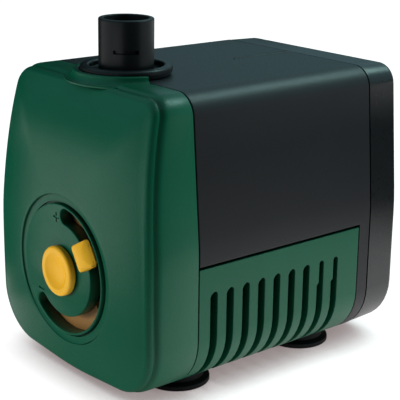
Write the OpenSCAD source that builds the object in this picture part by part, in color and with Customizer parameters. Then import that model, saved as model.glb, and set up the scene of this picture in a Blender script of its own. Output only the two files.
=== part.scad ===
// Submersible fountain pump: a ribless moulded casing in two colours around a potted
// synchronous motor, a radial impeller and a turning intake regulator in the front face.
// x runs across the pump, y from the front face to the cord end, z up from the floor.

/* [Casing] */
// Width of the casing where its sides start to lean in
casing_w = 75.8; // [72:0.2:84]
// Height of that place above the casing's bottom
side_h = 42.6; // [40:0.2:46]
// Width of the casing across its top corners
casing_top_w = 68; // [64:0.2:76]
// Width of the casing across its bottom corners
casing_low_w = 76.4; // [70:0.2:82]
// Height of the casing without its feet
casing_h = 85.5; // [84:0.5:96]
// Length of the casing, from the middle of its face to its rear end
casing_l = 101.5; // [99:0.5:112]
// Radius of the top corners
top_round = 6.6; // [5:0.2:10]
// Radius of the bottom corners
low_round = 16.6; // [14:0.2:20]
// How far the middle of the underside sags below the corners
belly_sag = 2.4; // [1:0.1:2.6]
// Thickness of the moulded walls
wall = 2.4; // [2:0.1:3]
// Gap between pieces that come apart by hand
part_gap = 0.3; // [0.25:0.05:0.5]
// Clearance between pieces that are fastened together
fit_gap = 0.1; // [0.05:0.01:0.15]
// Clearance all round a turning shaft
run_gap = 0.06; // [0.03:0.01:0.09]

/* [Front cover] */
// Depth of the front cover, from the split line to the middle of its face
front_l = 20.1; // [19.5:0.1:25]
// Length of the plate that stands proud in front of the crease, at the bottom
plate_l = 4.3; // [3.9:0.1:5]
// How much further back the crease lies at the top than at the bottom
face_lean = 6.5; // [4:0.1:7]
// How sharply the face curves back towards the top
lean_power = 4; // [2:0.5:5]
// How much further back the crease lies at the very bottom than at mid-height
face_tuck = 1.2; // [0:0.1:1.6]
// How far the bottom of the crease lies inside the casing's outline
crease_in = 1.1; // [0.6:0.1:1.6]
// Depth of the plate's straight side, in front of the crease
plate_side = 0.5; // [0.3:0.1:1]
// Radius of the plate's edge
plate_round = 1.9; // [1.4:0.1:2.6]
// Height of the face's flattest point above the casing's bottom
crown_h = 42; // [36:1:48]
// Length of the spigot that the cover slides over
spigot_l = 4; // [3:0.5:6]

/* [Dial] */
// Height of the dial, the impeller and the motor axis above the casing's bottom
axis_h = 30.6; // [30:0.2:33]
// Outer radius of the groove round the dial
dial_r = 22.3; // [21.4:0.1:23.2]
// Width of that groove
groove_w = 2.8; // [2:0.1:3.2]
// Depth of that groove
groove_d = 1; // [0.6:0.1:1.3]
// How far the dial lies behind the middle of the face
dial_sink = 0.2; // [0.1:0.1:0.9]
// Thickness of the dial plate
dial_t = 3.8; // [3.5:0.1:4.7]
// Middle radius of the curved slot in the dial
slot_r = 16.4; // [16:0.1:16.8]
// Width of that slot
slot_w = 4.8; // [4.2:0.1:5.2]
// Where the slot's upper end is centred, in degrees up from the right-hand side
slot_from = 84; // [70:1:90]
// Where the slot's lower end is centred
slot_to = -130; // [-140:1:-110]
// Where the lever stands, in degrees up from the right-hand side
lever_at = 32; // [10:1:50]

/* [Regulator] */
// Radius of the knob in the middle of the dial
knob_r = 7.4; // [6.5:0.1:8.5]
// How far the knob stands in front of the face
knob_proud = 2.2; // [1.6:0.1:3]
// Radius of the hollow in the knob
hollow_r = 5.4; // [4:0.1:5.8]
// Depth of the hollow in the knob
hollow_d = 1.5; // [0.9:0.1:1.9]
// Width of the lever, along the slot
lever_w = 8; // [7:0.1:9.5]
// Length of the lever, across the slot
lever_l = 6.8; // [6:0.1:8]
// Height of the lever above the dial
lever_h = 2.5; // [2.1:0.1:3.1]
// Radius of the regulator's spindle
spindle_r = 3; // [2.4:0.1:3.6]
// Thickness of the regulator's shutter
shutter_t = 1.6; // [1.2:0.1:2]
// Width of the shutter's window, in degrees
window_arc = 54; // [40:1:70]

/* [Intake grille] */
// Height of the grille's top edge above the casing's bottom
grille_h = 36.8; // [34:0.2:38]
// Gap between the grille's top edge and the motor casing
grille_gap = 0.8; // [0.6:0.1:1.2]
// Number of slots on each side
slot_count = 9; // [5:1:9]
// Number of those slots that have a step beside their upper stretch
step_count = 7; // [0:1:9]
// Distance from one slot to the next
slot_pitch = 6.05; // [5.4:0.05:6.2]
// Width of the slots
slot_open = 2.6; // [2:0.1:3]
// Distance from the split line to the first slot
slot_start = 5.4; // [4.5:0.1:6.5]
// Height of the slots' top ends above the casing's bottom
slot_top = 29.4; // [27:0.2:31]
// Length of the narrow upper stretch of each slot
slot_neck = 7.6; // [5:0.2:9]
// How far the slots reach in under the casing, from the middle
slot_reach = 17; // [15.5:0.5:20]
// Depth of the water channel between the grille and the motor casing
channel = 7.6; // [7:0.1:8.4]

/* [Motor casing] */
// Length of the full-height band at the rear of the motor casing
band_l = 4.4; // [3.5:0.1:6]
// Length of the rear cap
cap_l = 12.7; // [10:0.1:15]
// Radius of the rear cap's edge
cap_round = 1.8; // [1.1:0.1:3]
// How far the cap's sides draw in towards its rear edge
cap_draft = 0.4; // [0.2:0.1:0.8]
// Thickness of the cap's gasket
gasket_t = 0.5; // [0.4:0.1:0.8]
// Radius of the cap screws
screw_r = 1.5; // [1.2:0.1:1.8]
// How far the screw heads lie behind the cap's rear face
head_sink = 2.6; // [2:0.1:3.4]
// Radius of the hole for the cord
cord_r = 3.2; // [2.6:0.1:3.8]
// How far the cord gland stands out of the rear cap
gland_proud = 4; // [3:0.5:6]

/* [Outlet] */
// Distance from the split line back to the outlet's axis
outlet_set = 3.2; // [2.5:0.1:4]
// Outer radius of the hose tail
tail_r = 8; // [7.4:0.1:8.6]
// Wall of the hose tail
tail_wall = 1.5; // [1.2:0.1:2]
// Height of the hose tail above the casing
tail_h = 16.1; // [14:0.5:24]
// Radius of the collar under the hose tail
collar_r = 13.4; // [12.6:0.1:14]
// Height of the collar above the casing
collar_h = 2.9; // [2.6:0.1:4]
// Height of the bead round the collar
bead_h = 1.9; // [1.4:0.1:2.2]
// Width of the collar's rim
rim_w = 2.8; // [2.4:0.1:3.2]
// Depth of the dish inside the collar's rim
dish_d = 1.8; // [1:0.1:2.2]
// Height of the green seat round the front of the collar
seat_h = 1.7; // [1.2:0.1:2.2]
// Wall of that seat
seat_wall = 1.7; // [1.2:0.1:2.2]

/* [Pump chamber] */
// Inner radius of the pump chamber
chamber_r = 16.8; // [16.4:0.1:17.4]
// Wall of the duct that rises from the chamber to the outlet
duct_wall = 1.4; // [1.2:0.1:1.8]
// Wall of the pump chamber
chamber_wall = 2.2; // [2:0.1:2.6]
// Thickness of the chamber's cover and of the rotor well's flange
cover_t = 1.8; // [1.6:0.1:2.2]
// Radius of the opening in the middle of the chamber's cover
eye_r = 8.6; // [8:0.1:9.4]
// Radius of the impeller
impeller_r = 14.6; // [13.6:0.1:15]
// Number of impeller blades
blade_count = 6; // [4:1:8]
// Thickness of the impeller's blades
blade_t = 1.4; // [1.2:0.1:1.8]

/* [Motor] */
// Radius of the fixed ceramic shaft
shaft_r = 1.5; // [1.2:0.1:1.8]
// Outer radius of the rotor magnet
magnet_r = 10.2; // [9.6:0.1:10.4]
// Length of the rotor magnet
magnet_l = 30; // [26:0.5:31]
// Gap between the magnet and the wall of the rotor well
magnet_gap = 1.1; // [0.8:0.1:1.4]
// Wall of the rotor well
well_wall = 1.1; // [0.9:0.1:1.3]
// Room behind the magnet, up to the end of the rotor well
well_room = 5.6; // [5.3:0.1:7]
// Thickness of the stack of laminations
core_t = 22; // [18:0.5:23]
// Width of the laminations across both poles
core_w = 51; // [49:0.5:52]
// Width of each leg of the laminations
leg_w = 13; // [12:0.5:13.5]
// Height of the yoke that joins the legs
yoke_h = 9; // [8:0.5:10]
// Thickness of the copper winding on each leg
winding_t = 5.2; // [4.4:0.1:5.4]
// Least gap between the coils and the motor casing
coil_room = 0.6; // [0.4:0.1:0.8]

// Thickness of the layer of sealing resin
resin_t = 6; // [4:0.5:8]
// Depth of the resin's surface behind the rear cap's joint
resin_back = 3; // [2:0.5:5]

/* [Feet] */
// Height of the suction feet under the casing's bottom corners
foot_h = 3.8; // [3.4:0.1:5]
// Radius of the suction feet
foot_r = 10; // [8:0.5:11]
// Height of the lip round each foot
foot_lip = 1.5; // [1:0.1:2]
// Distance from the bottom corner of the casing in to the middle of each foot
foot_in = 18.6; // [16.5:0.1:20]
// Distance from the rear band forward to the rear feet
feet_end = 7.3; // [7:0.1:13]
// Distance from the split line back to the front feet
feet_start = 7; // [7:0.5:10]

/* [Hidden] */
$fn = 64;

// Stations along the pump
body_l = casing_l - front_l - cap_l;
overall_l = knob_proud + casing_l + gland_proud;
y_face = knob_proud - overall_l / 2;
y_split = y_face + front_l;
y_outlet = y_split + outlet_set;
y_joint = y_split + body_l;
y_cap = y_joint + gasket_t;
y_back = y_joint + cap_l;
y_band = y_joint - band_l;
feet_along = y_band - y_split - feet_start - feet_end;

// Heights
z_low = foot_h;
z_top = z_low + casing_h;
z_axis = z_low + axis_h;
z_line = z_low + grille_h + grille_gap;
z_side = z_low + side_h;
z_crown = z_low + crown_h;

// Dial and regulator, from front to back
y_dial = y_face + dial_sink;
y_dial_back = y_dial + dial_t;
y_shutter = y_dial_back + part_gap;
y_drum = y_shutter + shutter_t + part_gap;
stem_w = slot_w - 2 * part_gap;
press_gap = 0.02;
pin_r = spindle_r - 0.6;
pin_l = 1;
lever_turn = asin((lever_w / 2 - 1 - stem_w / 2) / slot_r);
stub_l = 1.4;
shutter_r = slot_r + slot_w / 2 + 1;

// Pump chamber and rotor, from front to back
duct_r = tail_r + fit_gap + duct_wall;
duct_bore = tail_r - 1.1;
chamber_l = 2 * duct_r - cover_t + 2 * fit_gap;
y_chamber = y_outlet - duct_r;
y_cover = y_chamber - cover_t;
y_well = y_chamber + chamber_l;
y_bulkhead = y_well + cover_t;
bulkhead_t = wall;
well_r = magnet_r + magnet_gap;
well_out = well_r + well_wall;
y_magnet = y_bulkhead + bulkhead_t + 3;
y_well_end = y_magnet + magnet_l + well_room;
well_l = y_well_end - y_well - cover_t;
bobbin_t = 1.2;
y_core = y_bulkhead + bulkhead_t + core_t / 2 + bobbin_t + winding_t + coil_room;
boss_l = min(16, y_joint - y_core - core_t / 2 - 2 * part_gap);
socket_l = 10;
chamber_out = chamber_r + chamber_wall;
hub_r = 4.2;
bush_r = shaft_r + 1.6;
bush_l = 5;
washer_t = 1;
sleeve_r = shaft_r + run_gap + 2;

// The rounded corner at b between a and c, as points on an arc of radius r
function side(v, w) = sign(v.x * w.y - v.y * w.x);
function turned(v, t) = [v.x * cos(t) - v.y * sin(t), v.x * sin(t) + v.y * cos(t)];
function unit(v) = v / norm(v);
function corner(a, b, c, r, n) =
    let(u = unit(a - b), v = unit(c - b), half = acos(u * v) / 2)
    let(centre = b + unit(u + v) * r / sin(half))
    let(from = b + u * r / tan(half) - centre, to = b + v * r / tan(half) - centre)
    let(arc = side(from, to) * (180 - 2 * half))
    [for (i = [0:n]) centre + turned(from, arc * i / n)];

// Rounds every corner of a closed outline; each corner is [point, radius, steps]
function rounded(corners) =
    let(n = len(corners))
    [for (i = [0:n - 1])
        for (p = corner(corners[(i + n - 1) % n][0], corners[i][0], corners[(i + 1) % n][0],
            corners[i][1], corners[i][2])) p];

// The casing's outline seen from the front, drawn in by inset
function casing_outline(inset = 0) =
    let(top = [casing_top_w / 2 - inset, z_top - inset])
    let(mid = [casing_w / 2 - inset, z_side])
    let(low = [casing_low_w / 2 - inset, z_low + inset])
    let(sag = [0, z_low - belly_sag + inset])
    let(rt = max(top_round - inset, 1), rl = max(low_round - inset, 3))
    rounded([
        [top, rt, 8], [[mid.x, mid.y], 90, 2], [[low.x, low.y], rl, 10], [sag, 120, 2],
        [[-low.x, low.y], rl, 10], [[-mid.x, mid.y], 90, 2], [[-top.x, top.y], rt, 8]]);

// How far back a curved ring lies at height z: share 1 follows the face's side view fully
function set_back(z, share) =
    let(t = min(max((z - z_low) / casing_h, 0), 1))
    share * (face_lean * pow(t, lean_power) + face_tuck * pow(1 - t, 2));

// A ring of the casing's outline at y, curved back as the face is
function casing_ring(y, inset, share = 0) =
    [for (p = casing_outline(inset)) [p.x, y + set_back(p.y, share), p.y]];

// The same ring shrunk by s towards the face's flattest point, on a domed face
function crown_ring(edge, y_pole, s) =
    [for (p = edge) [p.x * s, y_pole + (p.y - y_pole) * pow(s, 3.5),
        z_crown + (p.z - z_crown) * s]];

// A closed skin over a row of rings, which starts flat and ends in one point
module domed_skin(rings, pole) {
    n = len(rings[0]);
    m = len(rings);
    points = [for (ring = rings) for (p = ring) p];
    walls = [for (j = [0:m - 2]) for (i = [0:n - 1])
        let(a = j * n + i, b = j * n + (i + 1) % n)
        each [[a, b + n, a + n], [a, b, b + n]]];
    dome = [for (i = [0:n - 1]) [(m - 1) * n + i, (m - 1) * n + (i + 1) % n, m * n]];
    base = [[for (i = [n - 1:-1:0]) i]];
    polyhedron(concat(points, [pole]), concat(base, walls, dome));
}

// A closed skin over a row of rings with two flat ends
module flat_skin(rings) {
    n = len(rings[0]);
    m = len(rings);
    points = [for (ring = rings) for (p = ring) p];
    walls = [for (j = [0:m - 2]) for (i = [0:n - 1])
        let(a = j * n + i, b = j * n + (i + 1) % n)
        each [[a, a + n, b + n], [a, b + n, b]]];
    ends = [[for (i = [0:n - 1]) i], [for (i = [n - 1:-1:0]) (m - 1) * n + i]];
    polyhedron(points, concat(walls, ends));
}

// Puts children at y on the motor axis, their own +z pointing out of the front face
module on_axis(y) {
    translate([0, y, z_axis]) rotate([90, 0, 0]) children();
}

// Runs an outline drawn in x and z from y0 to y1
module run_back(y0, y1) {
    translate([0, y1, 0]) rotate([90, 0, 0]) linear_extrude(y1 - y0) children();
}

// The casing's outline above or below a height
module outline_above(inset, z) {
    intersection() {
        polygon(casing_outline(inset));
        translate([-casing_w, z]) square([2 * casing_w, casing_h * 2]);
    }
}
module outline_below(inset, z) {
    intersection() {
        polygon(casing_outline(inset));
        translate([-casing_w, z - 2 * casing_h]) square([2 * casing_w, casing_h * 2]);
    }
}

// A curved slot between two angles, with round ends
function arc_points(r, a, b, n) = [for (i = [0:n]) r * [cos(a + (b - a) * i / n), sin(a + (b - a) * i / n)]];
function arc_slot(r, w, a, b, n) =
    let(from = r * [cos(a), sin(a)], to = r * [cos(b), sin(b)])
    concat(
        arc_points(r + w / 2, a, b, n),
        [for (i = [1:7]) to + w / 2 * [cos(b + i * 22.5), sin(b + i * 22.5)]],
        arc_points(r - w / 2, b, a, n),
        [for (i = [1:7]) from + w / 2 * [cos(a + 180 + i * 22.5), sin(a + 180 + i * 22.5)]]);

// A slice of a ring between two angles
module ring_slice(r0, r1, a, b) {
    n = max(4, ceil(abs(b - a) / 6));
    polygon(concat(arc_points(r0, a, b, n), arc_points(r1, b, a, n)));
}

// Front cover: a domed face on a drawn band, with the dial let into it
y_crease = y_face + plate_l;
crease_profile = [[3, 0], [1.9, 0.05], [1.1, 0.2], [0.5, 0.6], [0, 1], [-0.3, 0.9]];
function cover_rings(inset) =
    let(plate = y_crease - plate_side, plate_in = inset + crease_in - 0.35)
    [casing_ring(y_split - part_gap, inset),
     for (p = crease_profile) casing_ring(y_crease + p[0], inset + crease_in * p[1], 1),
     for (a = [0:18:90]) casing_ring(plate - plate_round * sin(a),
         plate_in + plate_round * (1 - cos(a)), 1)];
function cover_skin_rings() =
    let(rings = cover_rings(0), edge = rings[len(rings) - 1])
    concat(rings, [for (s = [0.9, 0.8, 0.68, 0.54, 0.38, 0.2]) crown_ring(edge, y_face, s)]);

module cover_hollow() {
    edge = casing_ring(y_crease + 0.8, crease_in + wall, 1);
    rings = concat(
        [casing_ring(y_split + 1, wall), casing_ring(y_crease + 2.6, wall + 0.3, 1), edge],
        [for (s = [0.85, 0.65, 0.4]) crown_ring(edge, y_face + wall, s)]);
    domed_skin(rings, [0, y_face + wall, z_crown]);
}

module front_casing() color("darkgreen") {
    difference() {
        union() {
            difference() {
                domed_skin(cover_skin_rings(), [0, y_face, z_crown]);
                cover_hollow();
                on_axis(y_dial + groove_d) cylinder(r = dial_r, h = 20);
            }
            // Dial plate behind the groove, and the dial itself
            on_axis(y_dial_back) cylinder(r = dial_r + 0.6, h = dial_t - groove_d);
            on_axis(y_dial_back) cylinder(r = dial_r - groove_w, h = dial_t);
            outlet_seat();
        }
        // Fine line round the foot of the dial
        on_axis(y_dial + groove_d + moat_d) difference() {
            cylinder(r = dial_r - groove_w + moat_w, h = 2 * moat_d);
            translate([0, 0, -1]) cylinder(r = dial_r - groove_w, h = 2 * moat_d + 2);
        }
        on_axis(y_dial_back + 1) linear_extrude(dial_t + 3)
            polygon(arc_slot(slot_r, slot_w, slot_to, slot_from, 36));
        on_axis(y_dial_back + 1) cylinder(r = spindle_r + run_gap, h = dial_t + 2);
        // Way through the top for the outlet duct
        translate([0, y_outlet, z_top - 3 * wall]) cylinder(r = duct_r + part_gap, h = 6 * wall);
    }
}

moat_w = 0.6;
moat_d = 0.6;

// Half ring on the cover's top that the outlet collar sits in
module outlet_seat() {
    difference() {
        translate([0, y_outlet, z_top - wall / 2])
            cylinder(r = collar_r + part_gap + seat_wall, h = wall / 2 + seat_h);
        translate([0, y_outlet, z_top + fit_gap]) cylinder(r = collar_r + part_gap, h = seat_h + 1);
        translate([-collar_r * 2, y_split - part_gap, z_top - wall])
            cube([collar_r * 4, collar_r * 3, 3 * wall]);
    }
}

module regulator_knob() color("gold") {
    h = y_dial - part_gap - (y_face - knob_proud);
    floor_h = h - hollow_d;
    on_axis(y_dial - part_gap) difference() {
        union() {
            rotate_extrude() polygon(concat(
                [[0, 0], [knob_r, 0]],
                corner([knob_r, 0], [knob_r, h], [0, h], 0.8, 5),
                corner([knob_r, h], [hollow_r, h], [hollow_r - 1.6, floor_h], 0.5, 3),
                corner([hollow_r, h], [hollow_r - 1.6, floor_h], [0, floor_h], 1.2, 3),
                [[0, floor_h]]));
            translate([0, 0, -stub_l]) cylinder(r = spindle_r, h = stub_l + 0.2);
        }
        translate([0, 0, -stub_l - 1]) cylinder(r = pin_r + press_gap, h = pin_l + 1.2);
    }
}

// The lever's outline across the dial, and its stem in the slot
lever_out = stem_w / 2 + 0.1;
lever_crown = 5.5;
module stem_outline() {
    polygon(arc_slot(slot_r, stem_w, -lever_turn, lever_turn, 4));
}
module regulator_lever() color("gold") {
    on_axis(y_dial - part_gap) rotate([0, 0, lever_at]) difference() {
        union() {
            intersection() {
                translate([slot_r + lever_out - lever_l, -lever_w / 2, 0]) linear_extrude(lever_h)
                    polygon(rounded([[[0, 0], 1.4, 4], [[lever_l, 0], 1, 4],
                        [[lever_l, lever_w], 1, 4], [[0, lever_w], 1.4, 4]]));
                // Crowned top, falling away outwards down to the dial
                translate([slot_r + lever_out - 4.5, 0, lever_h - lever_crown]) rotate([90, 0, 0])
                    cylinder(r = lever_crown, h = 2 * lever_w, center = true);
            }
            translate([0, 0, -stub_l]) linear_extrude(stub_l + 0.1) intersection() {
                stem_outline();
                translate([slot_r + lever_out - lever_l, -lever_w]) square([lever_l, 2 * lever_w]);
            }
        }
        translate([slot_r, 0, -stub_l - 1]) linear_extrude(pin_l + 1.2)
            square([stem_w - 1.4 + 2 * press_gap, stem_w - 0.6 + 2 * press_gap], center = true);
    }
}

module regulator_shutter() color("goldenrod") {
    shoulder = y_shutter + shutter_t - y_dial + part_gap - stub_l;
    on_axis(y_shutter + shutter_t) difference() {
        union() {
            cylinder(r = shutter_r, h = shutter_t);
            // Spindle through the dial into the knob
            cylinder(r = spindle_r, h = shoulder);
            cylinder(r = pin_r, h = shoulder + pin_l);
            // Stem through the slot into the lever
            rotate([0, 0, lever_at]) linear_extrude(shoulder) stem_outline();
            rotate([0, 0, lever_at]) translate([slot_r, 0, 0]) linear_extrude(shoulder + pin_l)
                square([stem_w - 1.4, stem_w - 0.6], center = true);
        }
        translate([0, 0, -1]) linear_extrude(shutter_t + 2)
            ring_slice(spindle_r + 5, shutter_r - 1.2, lever_at - 16 - window_arc, lever_at - 16);
    }
}

// Motor casing: the charcoal shell, with a sealed trough for the motor under its ledges
module trough(inset) {
    polygon(casing_outline(channel + inset));
}
module dry_space() {
    outline_above(wall, z_line + wall);
    trough(wall);
}
boss_r = screw_r + 2.2;
boss_in = wall + screw_r + 1.9;
// The lower two stand in the trough's rounded corners
trough_r = low_round - channel;
low_in = (trough_r - wall - screw_r - 0.7) * sin(45);
low_x = casing_low_w / 2 - channel - trough_r + low_in;
low_z = z_low + channel + trough_r - low_in;
screw_spots = [for (s = [-1, 1])
    each [[s * (casing_top_w / 2 - boss_in), z_top - boss_in], [s * low_x, low_z]]];

module motor_casing() color("dimgray") {
    difference() {
        union() {
            difference() {
                union() {
                    run_back(y_split, y_band + 1) outline_above(0, z_line);
                    run_back(y_bulkhead, y_band + 1) trough(0);
                    run_back(y_band, y_joint) polygon(casing_outline(0));
                    cover_spigot() outline_above(wall + part_gap, z_line);
                    // Parting ridge along the rear of the top
                    translate([-ridge_w / 2, y_joint - ridge_l, z_top - wall / 2])
                        cube([ridge_w, ridge_l, wall / 2 + ridge_h]);
                }
                run_back(y_split - spigot_l - 1, y_bulkhead) outline_above(spigot_in, 0);
                run_back(y_bulkhead + bulkhead_t, y_joint + 1) dry_space();
            }
            // Screw bosses in the corners of the dry space
            for (p = screw_spots)
                translate([p.x, y_joint, p.y]) rotate([90, 0, 0]) cylinder(r = boss_r, h = boss_l);
        }
        for (p = screw_spots)
            translate([p.x, y_joint + 1, p.y]) rotate([90, 0, 0]) cylinder(r = screw_r, h = 13);
        on_axis(y_bulkhead + 2 * bulkhead_t) cylinder(r = well_out + fit_gap, h = 3 * bulkhead_t);
        translate([0, y_outlet, z_top - 3 * wall]) cylinder(r = duct_r + fit_gap, h = 6 * wall);
    }
}

ridge_w = 0.7;
ridge_h = 0.2;
ridge_l = 24;

// Spigot that the front cover slides over, with its root inside the shell's wall
spigot_in = wall + part_gap + 1.6;
module cover_spigot() {
    run_back(y_split - spigot_l, y_split + 3) children();
}

module rear_cap() color("slategray") {
    straight = y_back - cap_round;
    difference() {
        flat_skin([
            casing_ring(y_cap, 0.1), casing_ring(straight, cap_draft),
            for (a = [18:18:90]) casing_ring(straight + cap_round * sin(a),
                cap_draft + cap_round * (1 - cos(a)))]);
        difference() {
            run_back(y_cap - 1, y_back - wall) dry_space();
            for (p = screw_spots)
                translate([p.x, y_back, p.y]) rotate([90, 0, 0]) cylinder(r = boss_r, h = cap_l + 2);
        }
        for (p = screw_spots) translate([p.x, y_back + 1, p.y]) rotate([90, 0, 0]) {
            cylinder(r = screw_r + 0.3, h = cap_l + 3);
            cylinder(r = screw_r + 1.9, h = 4);
        }
        translate([0, y_back + 1, gland_z]) rotate([90, 0, 0]) cylinder(r = gland_r + fit_gap, h = wall + 3);
    }
}

gland_z = z_low + casing_h * 0.62;
gland_wall = 2;
gland_flare = 1.4;
gland_clip = 1.6;
gland_r = cord_r + gland_wall;
module cord_gland() color("black") {
    translate([0, y_back + gland_proud, gland_z]) rotate([90, 0, 0]) difference() {
        union() {
            cylinder(r1 = gland_r + gland_wall / 2, r2 = gland_r + gland_wall / 2 + gland_flare,
                h = gland_proud - fit_gap);
            cylinder(r = gland_r, h = gland_proud + wall);
            translate([0, 0, gland_proud + wall + fit_gap])
                cylinder(r = gland_r + gland_clip, h = gland_clip);
            cylinder(r = gland_r, h = gland_proud + wall + gland_wall / 2);
        }
        translate([0, 0, -1]) cylinder(r = cord_r, h = gland_proud + wall + 5);
    }
}

// Flat gasket between the motor casing and its cap
module cap_gasket() color("black") {
    run_back(y_joint, y_cap) difference() {
        union() {
            polygon(casing_outline(0.9));
            dry_space();
        }
        difference() {
            dry_space();
            for (p = screw_spots) translate(p) circle(r = boss_r);
        }
        for (p = screw_spots) translate(p) circle(r = screw_r + 0.3);
    }
}

module cap_screws() color("silver") {
    for (p = screw_spots) translate([p.x, y_back - head_sink, p.y]) rotate([90, 0, 0]) {
        difference() {
            rotate_extrude() polygon([[0, -1.8], [2.2, -1.8], [2.9, -1.2], [2.9, 0], [0, 0]]);
            translate([0, 0, -2.4]) linear_extrude(1.6) {
                square([3.6, 0.8], center = true);
                square([0.8, 3.6], center = true);
            }
        }
        cylinder(r = screw_r - 0.05, h = cap_l + 8);
    }
}

// Intake grille: a tray under the motor casing with slots that wrap round its corners
neck_in = 0.8;
slot_outline =
    let(r = slot_open / 2, z = z_low + slot_top, knee = z - slot_neck)
    concat(
        [[-r, z_low - belly_sag - 1], [r, z_low - belly_sag - 1]],
        corner([r, z_low], [r, z], [neck_in - r, z], (slot_open - neck_in) / 2 - 0.01, 4),
        corner([r, z], [neck_in - r, z], [neck_in - r, knee], (slot_open - neck_in) / 2 - 0.01, 4),
        [[neck_in - r, knee + neck_in], [-r, knee]]);
step_outline =
    let(r = slot_open / 2, z = z_low + slot_top, knee = z - slot_neck)
    [[-r, knee - 0.4], [neck_in - r + 0.3, knee - 0.4], [neck_in - r + 0.3, z - 0.3],
     [neck_in - r - 0.3, z - 0.6], [-r, z - 1.5]];
module grille_slots(side) {
    out = max(casing_w, casing_low_w) / 2 + 2;
    for (i = [0:slot_count - 1]) {
        y = y_split + slot_start + i * slot_pitch;
        translate([side > 0 ? slot_reach : -out, y, 0]) rotate([90, 0, 90])
            linear_extrude(out - slot_reach) polygon(slot_outline);
        // Shallow step beside the narrow stretch
        if (i < step_count) translate([side > 0 ? casing_w / 2 - 0.9 : -out, y, 0])
            rotate([90, 0, 90]) linear_extrude(out - casing_w / 2 + 0.9) polygon(step_outline);
    }
}

feet = [for (y = [0, feet_along]) for (s = [-1, 1])
    [s * (casing_low_w / 2 - foot_in), y_split + feet_start + y]];
peg_r = 2.6;

module intake_grille() color("green") {
    z_edge = z_low + grille_h;
    difference() {
        union() {
            difference() {
                union() {
                    run_back(y_split, y_band - part_gap) outline_below(0, z_edge);
                    cover_spigot() outline_below(wall + part_gap, z_edge);
                }
                run_back(y_split - spigot_l - 1, y_band) outline_below(spigot_in, z_edge + 1);
                grille_slots(-1);
                grille_slots(1);
            }
            // Posts for the feet, which the motor casing also stands on
            difference() {
                for (p = feet) translate([p.x, p.y, z_low + wall / 2])
                    cylinder(r = peg_r + 2, h = channel);
                run_back(y_split - 1, y_joint) trough(0);
            }
        }
        for (p = feet) translate([p.x, p.y, 0]) cylinder(r = peg_r, h = z_low + channel + 3);
    }
}

module foot(p) color("black") {
    neck_r = foot_r - 1.8;
    difference() {
        translate([p.x, p.y, 0]) rotate_extrude() polygon(concat(
            [[0, 1.2], [foot_r - 5, 0.9], [foot_r - 1.6, 0]],
            corner([foot_r - 1.6, 0], [foot_r, 0], [foot_r, foot_lip], 0.3, 2),
            corner([foot_r, 0], [foot_r, foot_lip], [neck_r, foot_lip + 0.5], 0.4, 3),
            [[neck_r, foot_lip + 0.6], [neck_r, foot_h + 3], [0, foot_h + 3]]));
        run_back(y_split - 20, y_joint) polygon(casing_outline(0));
    }
    translate([p.x, p.y, 2]) cylinder(r = peg_r - fit_gap / 2, h = z_low + channel - 3);
}
module foot_front_left() foot(feet[0]);
module foot_front_right() foot(feet[1]);
module foot_rear_left() foot(feet[2]);
module foot_rear_right() foot(feet[3]);

// Outlet: hose tail with a dished collar
ring_r = 0.5;
seal_at = socket_l / 2;
module outlet_nozzle() color("black") {
    dish = collar_h - dish_d;
    skirt_r = collar_r - 0.5;
    rim_in = collar_r - rim_w;
    translate([0, y_outlet, z_top]) difference() {
        rotate_extrude() polygon(concat(
            [[tail_r - tail_wall, -socket_l], [tail_r, -socket_l], [tail_r, -fit_gap],
             [duct_r, -fit_gap], [duct_r, part_gap], [skirt_r, part_gap], [skirt_r, collar_h - bead_h]],
            corner([skirt_r, collar_h - bead_h], [collar_r, collar_h - bead_h + 0.1],
                [collar_r, collar_h], 0.4, 3),
            corner([collar_r, collar_h - bead_h], [collar_r, collar_h], [rim_in, collar_h], 1, 5),
            corner([collar_r, collar_h], [rim_in, collar_h], [rim_in, dish], 0.8, 4),
            [[rim_in, dish], [tail_r, dish]],
            corner([tail_r, 0], [tail_r, tail_h], [tail_r - tail_wall, tail_h], 0.4, 3),
            [[tail_r - tail_wall, tail_h]]));
        // Seal groove
        translate([0, 0, -seal_at]) difference() {
            cylinder(r = tail_r + 1, h = 3 * ring_r, center = true);
            cylinder(r = tail_r + fit_gap - 2 * ring_r, h = 5 * ring_r, center = true);
        }
        // Bayonet notches for spray heads
        for (a = [-37, 143]) rotate([0, 0, a]) translate([0, 0, tail_h - 9.4]) linear_extrude(1.1)
            ring_slice(tail_r - 0.8, tail_r + 1, -27, 27);
    }
}
module outlet_seal() color("black") {
    translate([0, y_outlet, z_top - seal_at]) rotate_extrude()
        translate([tail_r + fit_gap - ring_r, 0]) circle(r = ring_r, $fn = 24);
}

// Pump chamber with the duct that rises to the outlet
groove_t = 1.2;
module pump_chamber() color("dimgray") {
    difference() {
        union() {
            on_axis(y_well) cylinder(r = chamber_out, h = chamber_l);
            translate([0, y_outlet, z_axis]) cylinder(r = duct_r, h = z_top - 2 * fit_gap - z_axis);
        }
        on_axis(y_well + 1) cylinder(r = chamber_r, h = chamber_l + 2);
        // Seat for the rotor well's flange
        on_axis(y_well + 2 * cover_t) cylinder(r = chamber_out + fit_gap, h = 2 * cover_t);
        translate([0, y_outlet, z_axis]) cylinder(r = duct_bore, h = casing_h);
        translate([0, y_outlet, z_top - socket_l - fit_gap])
            cylinder(r = tail_r + fit_gap, h = socket_l + 2);
        on_axis(y_chamber + 2 * ring_r + fit_gap) seal_groove(chamber_r + chamber_wall / 2);
    }
}
module seal_groove(r) {
    difference() {
        cylinder(r = r + groove_t / 2, h = 3);
        translate([0, 0, -1]) cylinder(r = r - groove_t / 2, h = 5);
    }
}
module chamber_seal() color("black") {
    on_axis(y_chamber + ring_r + fit_gap) rotate_extrude()
        translate([chamber_r + chamber_wall / 2, 0]) circle(r = ring_r, $fn = 24);
}

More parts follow.
